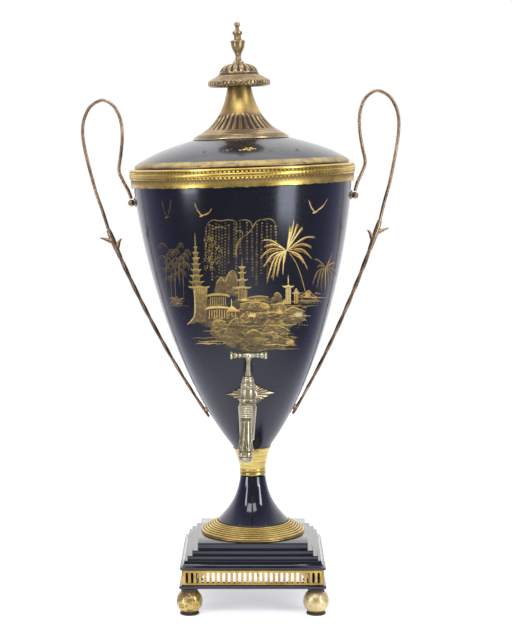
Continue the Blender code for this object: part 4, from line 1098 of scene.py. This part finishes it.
# %% Tap body
OUT = 0.0910 - body_radius(TAP_H)
SPOUT = 0.0142
barrel = turn("barrel",
              mm([(0, -36.9), (5.8, -36.9), (6.6, -36.4), (6.9, -35.5), (6.7, -34.7), (6.8, -33.9),
                  (7.2, -26), (7.7, -18), (8.2, -11), (8.5, -7), (8.4, -5.6), (7.9, -4.6),
                  (7.5, -4), (7.8, -3.4), (7.5, -2.8), (7.3, -2.1), (7.3, -1.4), (7.6, -0.8),
                  (7.7, 0.4), (7.7, 1.2), (7.4, 1.8), (6.9, 2.2), (6.7, 2.9), (6.7, 10.5),
                  (6.5, 11), (6.7, 11.5), (6.7, 13.1), (6.3, 13.7), (0, 13.7)]), 56)
rings = [(0.0050 + 0.0005 * (ring % 2 == 0), -0.0024 - 0.00085 * ring) for ring in range(14)]
spout = turn("spout",
             [*mm([(0, -0.5), (2.2, -0.6), (3.6, -1), (4.6, -1.7)]), *rings,
              *mm([(4.6, -15), (4.6, -16.2), (4.9, -16.6), (5.2, -24), (5.8, -32), (6.4, -39),
                   (7.3, -42.6), (7.5, -43.2), (6.9, -43.8), (6.2, -44.4), (6.6, -45.1),
                   (7.1, -45.9), (7.1, -47.9), (6.7, -48.8), (6.1, -49.4), (6.4, -50.1),
                   (6.9, -50.9), (6.8, -52.7), (6.3, -53.9), (5.8, -54.8), (3.6, -54.8),
                   (3.3, -53.8), (3.3, -40), (0, -40)])], 60)
hollow, radius, up = lobes(spout, 15)
ribbed = (up < -0.0168) & (up > -0.0425) & (hollow > 0.9) & (radius > 0.0045)
press(spout, ribbed, 0.90)
sunk = np.where(ribbed, 0.5, 0.0)
sunk[(up > -0.0143) & (up < -0.0020) & (radius < 0.0051)] = 0.4
hollow, radius, up = lobes(spout, 10)
pits = (np.abs(up + 0.0469) < 0.0012) & (hollow > 0.7) & (radius > 0.0060)
press(spout, pits, 0.90)
sunk[pits] = 0.6
BRIDGE_DROP = 0.0060
bridge = turn("bridge",
              [(0, 0.0), (0.0038, 0.0), (0.0040, 0.0060), (0.0045, 0.0072), (0.0040, 0.0084),
               (0.0038, SPOUT), (0, SPOUT)], 32)
tail = turn("tail",
            [*mm([(0, -6), (4.6, -6), (4.6, 2), (6.2, 2.4), (6.8, 3.4), (6.4, 4.6), (5, 5.4),
                  (4.6, 7)]),
             *mm([(4.6, -9), (5.4, -7.8), (5.6, -6.6), (5, -5.8), (5, 0), (0, 0)], OUT)], 40)
lying = Matrix.Rotation(math.radians(90), 4, "X")
move(barrel, Matrix.Translation((0, -OUT, 0)))
move(spout, Matrix.Translation((0, -OUT - SPOUT, 0)))
move(bridge, Matrix.Translation((0, -OUT, -BRIDGE_DROP)) @ lying)
move(tail, lying)
counts = [len(piece.data.vertices) for piece in (barrel, spout, bridge, tail)]
tap = join("tap_casting", barrel, spout, bridge, tail)
# Painted shade: the ribs, the grooves between the rings and the pits of the spout are darkened
hollows["tap_casting"] = np.concatenate([np.zeros(counts[0]), sunk, np.zeros(counts[2] + counts[3])])
finish_piece(move(tap, tapping), tap_brass, ["tap_body"])

# %% [markdown]
# ## Key
# The key turns in the barrel: a cap, a waisted stem and a cross bar with a knob at each end. It
# belongs to the moving body, so it rides on it, and the tapered plug goes down inside the barrel.

# %% Key
BAR_H, BAR_HALF = 0.0419, 0.0170
seat_h = 0.0137 + GAP
stem = turn("key_stem",
            [*mm([(0, -39.8), (4, -39.6), (4.7, -38.8), (4.9, -37.6), (4.6, -37.2), (3.7, -37.2)]),
             *mm([(4.7, 0), (6.3, 0), (6.6, 0.5), (6.6, 1.3), (6.3, 1.8), (5.9, 3), (5.4, 5),
                  (5.1, 6.2), (4.8, 6.6), (4.9, 7.2), (4.6, 8), (4, 8.4), (3.1, 8.7), (3, 9.4),
                  (2.6, 10.8), (2.1, 13.5), (1.9, 16.5), (1.8, 19.5), (2, 22.2), (2.4, 24.4)],
                 seat_h), *mm([(3, -1.8), (3.1, 0), (2.4, 1.4), (0, 2)], BAR_H)], 48)
half_bar = [(0.0025, 0.0), (0.0024, 0.10), (0.0021, 0.20), (0.0019, 0.32), (0.0019, 0.42),
            (0.0023, 0.47), (0.0024, 0.51), (0.0020, 0.55), (0.0022, 0.62), (0.0028, 0.70),
            (0.0029, 0.77), (0.0026, 0.82), (0.0031, 0.87), (0.0036, 0.91), (0.0036, 0.95),
            (0.0032, 0.985), (0.0020, 1.0), (0, 1.0)]
bar_line = [(r, -u * BAR_HALF) for r, u in half_bar[::-1]]
bar_line += [(r, u * BAR_HALF) for r, u in half_bar[1:]]
bar = turn("key_bar", bar_line, 36)
move(bar, Matrix.Translation((0, 0, BAR_H)) @ Matrix.Rotation(math.radians(90), 4, "Y"))
key = join("turning_key", stem, bar)
move(key, tapping @ Matrix.Translation((0, -OUT, 0)) @ Matrix.Rotation(math.radians(12), 4, "Z"))
finish_piece(key, tap_brass, ["tap_key"], body="key")

# %% [markdown]
# ## Gilt painting
# The picture is painted in gold size and leaf, so it has a slight thickness and its strokes cross
# each other. Each stroke is a thin ribbon that swells and tapers as a brush does. Strokes are laid
# out on a flat sheet in front of the urn and then thrown onto the black surface behind it, and a
# tone attribute says how bright each one is, from bare brown size to fresh leaf.


# %% Brush
class Brush:
    """Strokes on a flat sheet, x to the right and y down, one unit about a millimetre."""

    def __init__(self, seed):
        self.chance = random.Random(seed)
        self.points, self.tones, self.lifts, self.faces = [], [], [], []

    def near(self, spread):
        return self.chance.uniform(-spread, spread)

    def stroke(self, line, width, tone, lift=0.06, ends=(0.25, 0.15), steps=3, fade=0.0):
        if len(line) > 2:
            path = smooth(line, steps)
        else:
            path = [tuple(a + (b - a) * k / steps for a, b in zip(*line)) for k in range(steps + 1)]
        first = len(self.points)
        for index, (x, y) in enumerate(path):
            before, after = path[max(index - 1, 0)], path[min(index + 1, len(path) - 1)]
            dx, dy = after[0] - before[0], after[1] - before[1]
            length = math.hypot(dx, dy) or 1.0
            share = index / (len(path) - 1)
            swell = min(1, ends[0] + (1 - ends[0]) * share / 0.3,
                        ends[1] + (1 - ends[1]) * (1 - share) / 0.45)
            half = width * swell / 2
            for side in (-1, 1):
                self.points.append((x - side * dy / length * half, y + side * dx / length * half))
                self.tones.append(tone + fade * share)
                self.lifts.append(lift)
            if index:
                start = first + 2 * index
                self.faces.append((start - 2, start - 1, start + 1, start))

    def wash(self, outline, top_tone, low_tone, lift=0.03, row=1.5, step=3.0):
        """Fills a shape that has one left and one right side at every height."""
        closed = [*outline, outline[0]]
        top, low = min(y for x, y in outline), max(y for x, y in outline)
        rows = max(int((low - top) / row), 1)
        columns = max(int((max(x for x, y in outline) - min(x for x, y in outline)) / step), 1)
        first = len(self.points)
        for level in range(rows + 1):
            y = min(max(top + (low - top) * level / rows, top + 0.05), low - 0.05)
            cuts = [x0 + (x1 - x0) * (y - y0) / (y1 - y0)
                    for (x0, y0), (x1, y1) in zip(closed, closed[1:]) if (y0 - y) * (y1 - y) < 0]
            left, right = (min(cuts), max(cuts)) if cuts else (outline[0][0], outline[0][0])
            for column in range(columns + 1):
                self.points.append((left + (right - left) * column / columns, y))
                self.tones.append(top_tone + (low_tone - top_tone) * level / rows + self.near(0.05))
                self.lifts.append(lift)
        for level in range(rows):
            for column in range(columns):
                corner = first + level * (columns + 1) + column
                self.faces.append((corner, corner + columns + 1, corner + columns + 2, corner + 1))

    def lay(self, name, outside, push):
        """Throws the sheet along the camera's rays onto the surface where outside() changes sign."""
        sheet = np.array(self.points)
        across = (sheet[:, 0] - PICTURE_CENTRE[0]) / FOCUS
        up = -(sheet[:, 1] - PICTURE_CENTRE[1]) / FOCUS
        cos, sin = math.cos(CAMERA_DOWN), math.sin(CAMERA_DOWN)
        rays = np.stack((across, cos + up * sin, up * cos - sin), axis=1)
        back = np.array(leaning.inverted())
        start = back[:3, :3] @ np.array(camera.location) + back[:3, 3]
        rays = rays @ back[:3, :3].T
        near, far = np.full(len(sheet), 1.44), np.full(len(sheet), 1.612)
        for _ in range(34):
            middle = (near + far) / 2
            free = outside(start + rays * middle[:, None]) > 0
            near, far = np.where(free, middle, near), np.where(free, far, middle)
        hits = push(start + rays * near[:, None], np.array(self.lifts) / 1000)
        mesh = bpy.data.meshes.new(name)
        mesh.from_pydata(hits.tolist(), [], self.faces)
        tone = mesh.attributes.new("tone", "FLOAT", "POINT")
        tone.data.foreach_set("value", np.clip(self.tones, 0, 1).astype(np.float32))
        piece = bpy.data.objects.new(name, mesh)
        bpy.context.scene.collection.objects.link(piece)
        return piece


print("brush ready")

# %% [markdown]
# ## Gold of the picture
# The tone picks the colour, from brown size over olive and orange gold to bright leaf. Rubbed places
# let the black through, so a noise takes some of the gold away.

# %% Picture gold
leaf = Finish("picture_gold", IOR=1.5)
tone = leaf.painted("tone")
patchy = leaf.noise(180, 4, 0.65)
rubbed = leaf.noise(420, 3, 0.7, shift=5.0).above(0.60, 0.06)
leaf_colour = leaf.ramp((tone + (patchy - 0.5) * 0.30).clipped(),
                        [(0.0, (0.020, 0.014, 0.010)), (0.18, (0.085, 0.055, 0.022)),
                         (0.36, (0.21, 0.145, 0.050)), (0.52, (0.42, 0.30, 0.085)),
                         (0.64, (0.66, 0.47, 0.13)), (0.70, (0.86, 0.46, 0.10)),
                         (0.76, (0.86, 0.66, 0.22)), (1.0, (1.0, 0.90, 0.50))])
leaf_colour = leaf.mix(rubbed * 0.55, leaf_colour, (0.020, 0.016, 0.016))
leaf.bump(patchy + tone * 0.5, 0.00006, 0.5)
picture_gold = leaf.give(Base_Color=leaf_colour, Metallic=(tone * 0.75).clipped() * (1 - rubbed * 0.6),
                         Roughness=0.34 + patchy * 0.18)


# %% Trees
def willow(brush):
    limbs = [[(237, 258), (236.5, 250), (239, 243), (243, 237)],
             [(243, 237), (249, 232.5), (253, 227), (256.5, 221.5), (262, 219.5), (267, 221)],
             [(243, 237), (242, 232), (238.5, 230.5), (235, 235)],
             [(237, 228), (236, 222), (229, 219.8), (220, 221), (213, 220), (207.5, 224),
              (206, 231)], [(253, 227), (250, 221.5), (244, 219.8), (238, 221)],
             [(262, 219.6), (269, 218.8), (274, 221.5), (275.8, 228)],
             [(213, 229), (219, 227), (225, 227.5)], [(243, 237), (239, 240), (236, 247), (235, 256)]]
    for limb in limbs:
        brush.stroke(limb, 1.1, 0.44, 0.05)
    strands = [(x, 222 + abs(x - 240) * 0.10 + brush.near(2), low)
               for x, low in ((206, 262), (209.5, 252), (212.5, 279), (216, 262), (219, 272),
                              (222, 276), (225.5, 273), (229, 262), (234, 258), (236, 276),
                              (240, 254), (247, 263), (252, 277), (257, 284), (262, 273),
                              (267, 277), (271, 262), (275.5, 243))]
    for x, high, low in strands:
        y, drift = high, brush.near(0.8)
        brush.stroke([(x, high), (x + drift * 0.5, (high + low) / 2), (x + drift, low)], 0.30, 0.17,
                     0.045, (0.8, 0.5), 6)
        while y < low:
            at = x + drift * (y - high) / (low - high)
            tone = brush.chance.uniform(0.24, 0.52) + (0.12 if x < 214 or x > 272 else 0)
            for side in (-1, 1):
                brush.stroke([(at, y), (at + side * 0.62, y + 0.9),
                              (at + side * 0.78, y + brush.chance.uniform(1.7, 2.3))], 0.62,
                             tone + brush.near(0.08), 0.055, steps=1)
            y += brush.chance.uniform(2.6, 3.3)
    for twig in range(46):
        x, y = brush.chance.uniform(203, 221), brush.chance.uniform(234, 268)
        brush.stroke([(x, y), (x + brush.near(1.5), y + 2.4), (x + brush.near(2.8), y + 5.0)], 0.65,
                     brush.chance.uniform(0.30, 0.62), 0.05, steps=1)


def palm(brush, crown, tips, tone, width, orange):
    cx, cy = crown
    for number, (x, y) in enumerate(tips):
        dx, dy = x - cx, y - cy
        sag = -0.20 * abs(dx) if dy < 8 else -0.22 * abs(dy)
        middle = (cx + dx * 0.62, cy + dy * 0.48 + sag)
        for strand in range(3):
            off = (strand - 1) * width * 0.42
            end = (x + brush.near(1.0) + off * 0.5, y + brush.near(1.0) + (1.4 if strand else 0))
            if number in orange and strand == 1:
                shade = 0.70
            else:
                shade = tone - 0.13 * abs(strand - 1) + brush.near(0.05)
            brush.stroke([(cx + off * 0.2, cy), (middle[0] + off, middle[1] + abs(off) * 0.6), end],
                         width * (1.0 if strand == 1 else 0.7), shade,
                         0.075 if strand == 1 else 0.065, (0.30, 0.08), 6)
        for blade in range(8):
            share = 0.28 + 0.09 * blade
            bx, by = cx + dx * share, cy + dy * share + sag * 3.4 * share * (1 - share)
            brush.stroke([(bx, by), (bx + dx * 0.12 + brush.near(0.6), by + 2.4 + brush.near(0.6))],
                         width * 0.55, tone - 0.16 + brush.near(0.1), 0.06)


def shrub(brush, x, y, wide, high, tone, count=14):
    for leaf_number in range(count):
        angle = math.pi * (0.05 + 0.9 * leaf_number / (count - 1))
        reach = brush.chance.uniform(0.55, 1.0)
        tip = (x + math.cos(angle) * wide / 2 * reach, y - math.sin(angle) * high * reach)
        brush.stroke([(x + math.cos(angle) * wide * 0.18, y), tip], 0.9, tone + brush.near(0.1), 0.065)


def faint_tree(brush, x, y, wide, high, tone):
    brush.stroke([(x, y), (x - 1, y - high * 0.5), (x + 1.5, y - high * 0.85)], 0.8, tone, 0.045)
    for bough in range(5):
        by = y - high * (0.45 + 0.11 * bough)
        side = 1 if bough % 2 else -1
        bend = [(x, by), (x + side * wide * 0.25, by - 3), (x + side * wide * 0.5, by + 1)]
        brush.stroke(bend, 0.7, tone, 0.045)
        for dash in range(7):
            share = dash / 6
            px, py = x + side * wide * 0.5 * share, by - 3 * math.sin(math.pi * share) + share
            brush.stroke([(px, py), (px + brush.near(0.8), py + brush.chance.uniform(2, 6))], 0.5,
                         tone * brush.chance.uniform(0.7, 1.1), 0.05)


# %% Buildings
def roof(brush, x, y, half, tone, width=1.5):
    brush.stroke([(x - half, y - 0.4), (x - half * 0.6, y + 0.6), (x, y - 0.5),
                  (x + half * 0.6, y + 0.6), (x + half, y - 0.4)], width, tone, 0.075, (0.5, 0.5), 2)


def storeys(brush, x, top, low, half, tone, posts=3):
    brush.wash([(x - half, top), (x + half, top), (x + half, low), (x - half, low)], tone * 0.62,
               tone * 0.5, 0.04)
    for post in range(posts):
        at = x - half + 2 * half * post / (posts - 1)
        brush.stroke([(at, top), (at, low)], 0.75, tone, 0.065, (0.9, 0.9))


def tall_pagoda(brush, x=195.5):
    brush.stroke([(x - 0.6, 233), (x - 0.3, 244), (x, 253)], 0.8, 0.58, 0.06, (0.3, 0.9))
    levels = [(247, 1.6), (252.5, 2.8), (258, 3.4), (263.8, 4.4), (269.6, 5.2), (275.5, 6.4),
              (281.5, 7.6)]
    for (y, half), (following, _) in zip(levels, levels[1:] + [(286.6, 9)]):
        storeys(brush, x + (y - 247) * 0.03, y, following, half * 0.5, 0.46)
        roof(brush, x + (y - 247) * 0.03, y, half, 0.56 + brush.near(0.05), 1.8)
        roof(brush, x + (y - 247) * 0.03, y + 1.8, half * 0.75, 0.40 + brush.near(0.05), 1.2)
    roof(brush, x + 3.5, 287, 10.5, 0.62, 2.2)
    brush.wash([(193, 288), (207.5, 288), (207, 300), (206, 322), (187, 325), (193.5, 317),
                (194.5, 302)], 0.50, 0.30, 0.035)
    for bar in range(6):
        brush.stroke([(195 + bar * 2.3, 288), (195 + bar * 2.3, 293.5)], 0.8, 0.62, 0.07, (0.9, 0.6))
    brush.stroke([(194.5, 289), (195, 303), (194.5, 316), (187.5, 324.5)], 1.3, 0.78, 0.08, (0.6, 0.6))
    for dab in range(26):
        px, py = brush.chance.uniform(197, 206), brush.chance.uniform(295, 321)
        brush.stroke([(px, py), (px + brush.near(1), py + 3)], 0.8, brush.chance.uniform(0.25, 0.5),
                     0.06)


def pavilion(brush):
    for left, right, y, low, tone in ((208, 228, 295.5, 305, 0.62), (207, 229.5, 308.3, 318, 0.76)):
        brush.wash([(left + 2, y), (right - 2, y), (right - 3, low), (left + 2, low)], 0.14, 0.16,
                   0.035)
        brush.stroke([(left - 1.5, y + 1.2), (left + 2, y - 0.6), ((left + right) / 2, y - 1.2),
                      (right - 2, y - 0.6), (right + 1.5, y + 1.2)], 2.3, tone, 0.08, (0.6, 0.6), 2)
        for post in range(8):
            x = left + 2.5 + (right - left - 5) * post / 7
            brush.stroke([(x, y + 1.5), (x, low)], 0.7, tone - 0.05, 0.07, (0.9, 0.8))
        brush.stroke([(left + 1, low), (right - 1, low)], 0.8, tone - 0.1, 0.07, (0.8, 0.8))
    brush.stroke([(231.5, 298.5), (231.5, 306)], 0.7, 0.8, 0.07, (0.3, 0.9))
    brush.wash([(231.5, 305.5), (240.5, 311.5), (226.5, 311.5)], 0.86, 0.66, 0.08, 1.0)
    for x in (229, 232, 235.5):
        brush.stroke([(x, 311), (x, 318)], 0.7, 0.64, 0.07)


def small_pagoda(brush, x=242):
    brush.stroke([(x, 257), (x, 268)], 0.7, 0.46, 0.06, (0.3, 0.9))
    for y, half, following in ((267, 3.2, 271), (272.5, 4.0, 279), (279.6, 5.8, 286.5),
                               (287.3, 9.5, 301)):
        storeys(brush, x, y, following, half * 0.36, 0.54)
        roof(brush, x, y, half, 0.60, 1.9)
    storeys(brush, x + 3.4, 290, 301, 1.3, 0.55)


def towers(brush):
    brush.stroke([(288.2, 275), (288.2, 285)], 0.8, 0.82, 0.07, (0.3, 0.9))
    roof(brush, 288.3, 286.3, 5.6, 0.84, 1.8)
    storeys(brush, 288.3, 287, 304, 2.2, 0.80, 4)
    brush.wash([(293.5, 292.5), (295, 289.5), (296.2, 288), (297.4, 289.5), (299, 292.5)], 0.78,
               0.60, 0.08, 1.0)
    roof(brush, 296.2, 293, 3.8, 0.80, 1.3)
    storeys(brush, 296.2, 293.6, 303.5, 1.7, 0.70, 3)


# %% Land and birds
def rock(brush, outline, tone, hatch=10, edge=1.0):
    brush.wash(outline, tone, tone * 0.62, 0.03)
    top = min(outline, key=lambda p: p[1])
    crest = sorted(outline, key=lambda p: p[0])
    upper = [p for p in crest if p[1] < (top[1] + max(q[1] for q in outline)) / 2 + 1]
    if len(upper) > 2:
        brush.stroke(upper, edge, tone + 0.26, 0.065, (0.4, 0.4), 3)
    low = max(y for x, y in outline)
    for line in range(hatch):
        x = brush.chance.uniform(crest[0][0] + 1, crest[-1][0] - 1)
        y = brush.chance.uniform(top[1] + 1.5, low - 1)
        long = brush.chance.uniform(2.5, 6.0)
        brush.stroke([(x - long / 2, y + long * 0.22), (x, y - long * 0.10),
                      (x + long / 2, y + long * 0.16)], 0.8,
                     tone + brush.chance.uniform(-0.16, 0.24), 0.05)


def shore(brush, x0, x1, y, tone, width=1.0, breaks=0):
    line = [(x0 + (x1 - x0) * k / 6, y + brush.near(0.5)) for k in range(7)]
    brush.stroke(line, width, tone, 0.055, (0.2, 0.1), 2)
    for dash in range(breaks):
        x = x1 + 1.5 + dash * 2.6
        brush.stroke([(x, y + brush.near(0.7)), (x + 1.5, y + brush.near(0.4))], 0.7, tone, 0.055)


def bird(brush, body, left, right, tone):
    bx, by = body
    brush.stroke([(bx - 2.4, by + 1.2), (bx, by), (bx + 2.6, by - 0.6)], 1.9, tone, 0.07)
    for tip in (left, right):
        mx, my = (bx + tip[0]) / 2, (by + tip[1]) / 2
        for feather in range(4):
            brush.stroke([(bx, by), (mx + (tip[0] - bx) * 0.10, my + 1.6 - feather * 0.3),
                          (tip[0] + feather * 0.7 * (1 if tip[0] < bx else -1),
                           tip[1] + feather * 1.4)], 0.95 - feather * 0.12, tone - feather * 0.07, 0.07)


picture = Brush(7)
bird(picture, (167, 217), (162, 200), (171.5, 199), 0.26)
bird(picture, (202, 215.5), (194.5, 202.5), (212, 208.5), 0.66)
bird(picture, (315, 212), (308.5, 199.5), (327.5, 198.5), 0.84)
for tree in ((167, 296, 20, 56, 0.30), (176, 303, 22, 54, 0.36), (184, 299, 14, 60, 0.30),
             (180, 286, 18, 38, 0.40), (172, 300, 16, 44, 0.28)):
    faint_tree(picture, *tree)
willow(picture)
rock(picture, [(169, 304), (173, 297), (177, 296), (184, 304), (176, 306)], 0.36, 8)
shore(picture, 166, 190, 306, 0.32)
picture.wash([(200, 296), (209, 299), (232, 314), (241, 322), (226, 333), (206, 327), (196, 322)],
             0.17, 0.22, 0.02)
picture.wash([(236, 299), (262, 296), (284, 302), (302, 309), (307, 315), (300, 322), (290, 328),
              (285, 334), (296, 345), (262, 352), (246, 352), (216, 340), (211, 332), (218, 322)],
             0.19, 0.22, 0.02)
for touch in range(230):
    x, y = picture.chance.uniform(214, 306), picture.chance.uniform(301, 349)
    if abs(x - 256) < 50 - max(y - 318, 0) * 0.72:
        picture.stroke([(x - 2.6, y + picture.near(0.8)), (x, y - 0.5),
                        (x + 2.8, y + picture.near(0.8))], picture.chance.uniform(0.5, 1.2),
                       picture.chance.choice((0.04, 0.10, 0.30, 0.42, 0.56)), 0.062)
for hill in ([(213, 296), (216, 284), (221, 277), (225, 282), (229, 273), (234, 271), (238, 282),
              (238, 297)], [(244, 300), (248, 297.5), (259, 296), (269, 297), (262, 301)],
             [(271, 301), (274, 294.5), (278, 292.5), (281.5, 297), (282, 302)]):
    rock(picture, hill, 0.36, 22)
for stone in ([(299, 304), (301, 296), (305, 293), (309, 290.5), (313, 295), (319, 298),
               (321, 304)],
              [(240, 304), (252, 302), (262, 303), (268, 307), (258, 311), (240, 310)],
              [(257, 318), (259, 307), (264, 303), (269, 308), (271, 317)],
              [(270, 314), (274, 305), (281, 303), (287, 308), (289, 317)],
              [(276, 322), (284, 311), (293, 307), (303, 311), (306, 318), (300, 324)],
              [(240, 318), (246, 312), (256, 314), (262, 320), (254, 324), (244, 323)],
              [(262, 326), (268, 318), (278, 320), (286, 326), (276, 331)]):
    rock(picture, stone, picture.chance.uniform(0.34, 0.46), 20)
for boulder in ([(210, 332), (212, 324), (219, 320), (226, 322), (229, 331), (226, 338), (214, 338)],
                [(222, 341), (226, 327), (236, 318), (247, 322), (250, 334), (247, 348), (230, 348)],
                [(240, 349), (244, 336), (252, 330), (262, 333), (266, 342), (262, 351), (248, 352)],
                [(258, 346), (264, 334), (273, 332), (283, 338), (292, 340), (297, 345), (272, 350)],
                [(262, 334), (268, 325), (280, 326), (290, 331), (280, 336)]):
    rock(picture, boulder, picture.chance.uniform(0.32, 0.42), 30, 1.3)
tall_pagoda(picture)
pavilion(picture)
small_pagoda(picture)
towers(picture)
for x0, x1, y, tone, breaks in ((299, 326, 297.5, 0.72, 0), (297, 322, 301, 0.55, 0),
                                (288, 311, 316, 0.80, 0), (276, 297, 325, 0.62, 4),
                                (256, 288, 312.5, 0.66, 0), (236, 268, 300, 0.60, 0),
                                (262, 297, 345, 0.62, 0), (198, 226, 341.5, 0.55, 0),
                                (268, 300, 349, 0.40, 0), (203, 222, 331, 0.42, 0),
                                (192, 224, 338, 0.34, 0), (196, 222, 343.5, 0.62, 0),
                                (283, 318, 306, 0.45, 0), (240, 262, 326, 0.52, 0),
                                (250, 280, 339, 0.50, 0)):
    shore(picture, x0, x1, y, tone, 1.3, breaks)
for bush in ((280, 314, 10, 8, 0.66), (298.5, 316, 12, 6, 0.84), (290.5, 344, 12, 8, 0.62),
             (285, 304, 10, 6, 0.66), (252, 317, 12, 6, 0.74), (308, 297, 10, 7, 0.62),
             (267, 308, 8, 6, 0.60), (244, 301, 8, 3, 0.7), (276, 338, 10, 5, 0.52),
             (217, 322, 9, 4, 0.5)):
    shrub(picture, *bush)
picture.stroke([(289.5, 253), (296, 263), (301, 276), (305, 291)], 0.75, 0.62, 0.06, (0.8, 0.8), 6)
palm(picture, (326, 267.5),
     [(332.5, 251.5), (330, 258), (336, 262), (314.5, 257.5), (317, 266), (312, 284), (316.5, 287),
      (320.5, 290), (325, 290), (329, 287), (333, 282), (336, 274)], 0.46, 0.8, (1, 2, 8))
palm(picture, (286.5, 250.5),
     [(294, 219), (298, 222.5), (302.5, 226), (290.5, 225), (315, 236), (311, 246.5), (311.5, 258),
      (307.5, 268), (303, 262), (263.5, 239.5), (265, 246), (260.5, 258), (264, 266), (267, 281),
      (272, 279), (277, 276), (282.5, 274), (284.5, 262)], 0.80, 1.0, (5, 6, 8, 11))
print("strokes and washes:", len(picture.faces), "faces")

# %% Picture on the body
profile = np.array([*body_line, (SHOULDER_R, BODY_TOP_H)])


def body_outside(p):
    return np.hypot(p[:, 0], p[:, 1]) - np.interp(p[:, 2], profile[:, 1], profile[:, 0])


def off_the_body(p, lift):
    r = np.hypot(p[:, 0], p[:, 1])
    return np.stack((p[:, 0] * (r + lift) / r, p[:, 1] * (r + lift) / r, p[:, 2]), axis=1)


def face_out(piece):
    mesh = bmesh.new()
    mesh.from_mesh(piece.data)
    for face in mesh.faces:
        middle = face.calc_center_median()
        if face.normal.dot(Vector((middle.x, middle.y, 0.05))) < 0:
            face.normal_flip()
    mesh.to_mesh(piece.data)
    mesh.free()
    return piece


body_picture = face_out(picture.lay("gilt_picture", body_outside, off_the_body))
finish_piece(move(body_picture, leaning), picture_gold, soil=False)

# %% Sprays on the lid
sprays = Brush(11)
for x, y, reach, tone, twigs in ((249, 149.0, 9, 0.78, 11), (228, 150.6, 6, 0.34, 5),
                                 (271, 149.8, 5, 0.20, 4), (204, 152.4, 4, 0.14, 3),
                                 (297, 150.4, 4, 0.14, 3)):
    for twig in range(twigs):
        angle = math.pi * sprays.chance.uniform(0.0, 1.0)
        far = sprays.chance.uniform(0.35, 1.0)
        tip = (x + math.cos(angle) * reach * far, y + 1.2 - math.sin(angle) * 3.2 * far)
        sprays.stroke([(x + sprays.near(2), y + 1.8), ((x + tip[0]) / 2, (y + tip[1]) / 2 - 0.4),
                       tip], 0.6, tone - 0.15, 0.05)
        for petal in range(3):
            turned = math.tau * petal / 3 + sprays.near(0.8)
            sprays.stroke([tip, (tip[0] + math.cos(turned) * 1.4, tip[1] + math.sin(turned) * 0.6)],
                          0.8, tone + sprays.near(0.16), 0.06, (0.6, 0.5))
lid_profile = np.array(sorted((r, h) for r, h in dome))


def lid_outside(p):
    return p[:, 2] - np.interp(np.hypot(p[:, 0], p[:, 1]), lid_profile[:, 0], lid_profile[:, 1])


def off_the_lid(p, lift):
    return p + np.stack((lift * 0, lift * 0, lift), axis=1)


flat_spray = sprays.lay("gilt_sprays", lid_outside, off_the_lid)
finish_piece(move(face_out(flat_spray), leaning), picture_gold, soil=False)
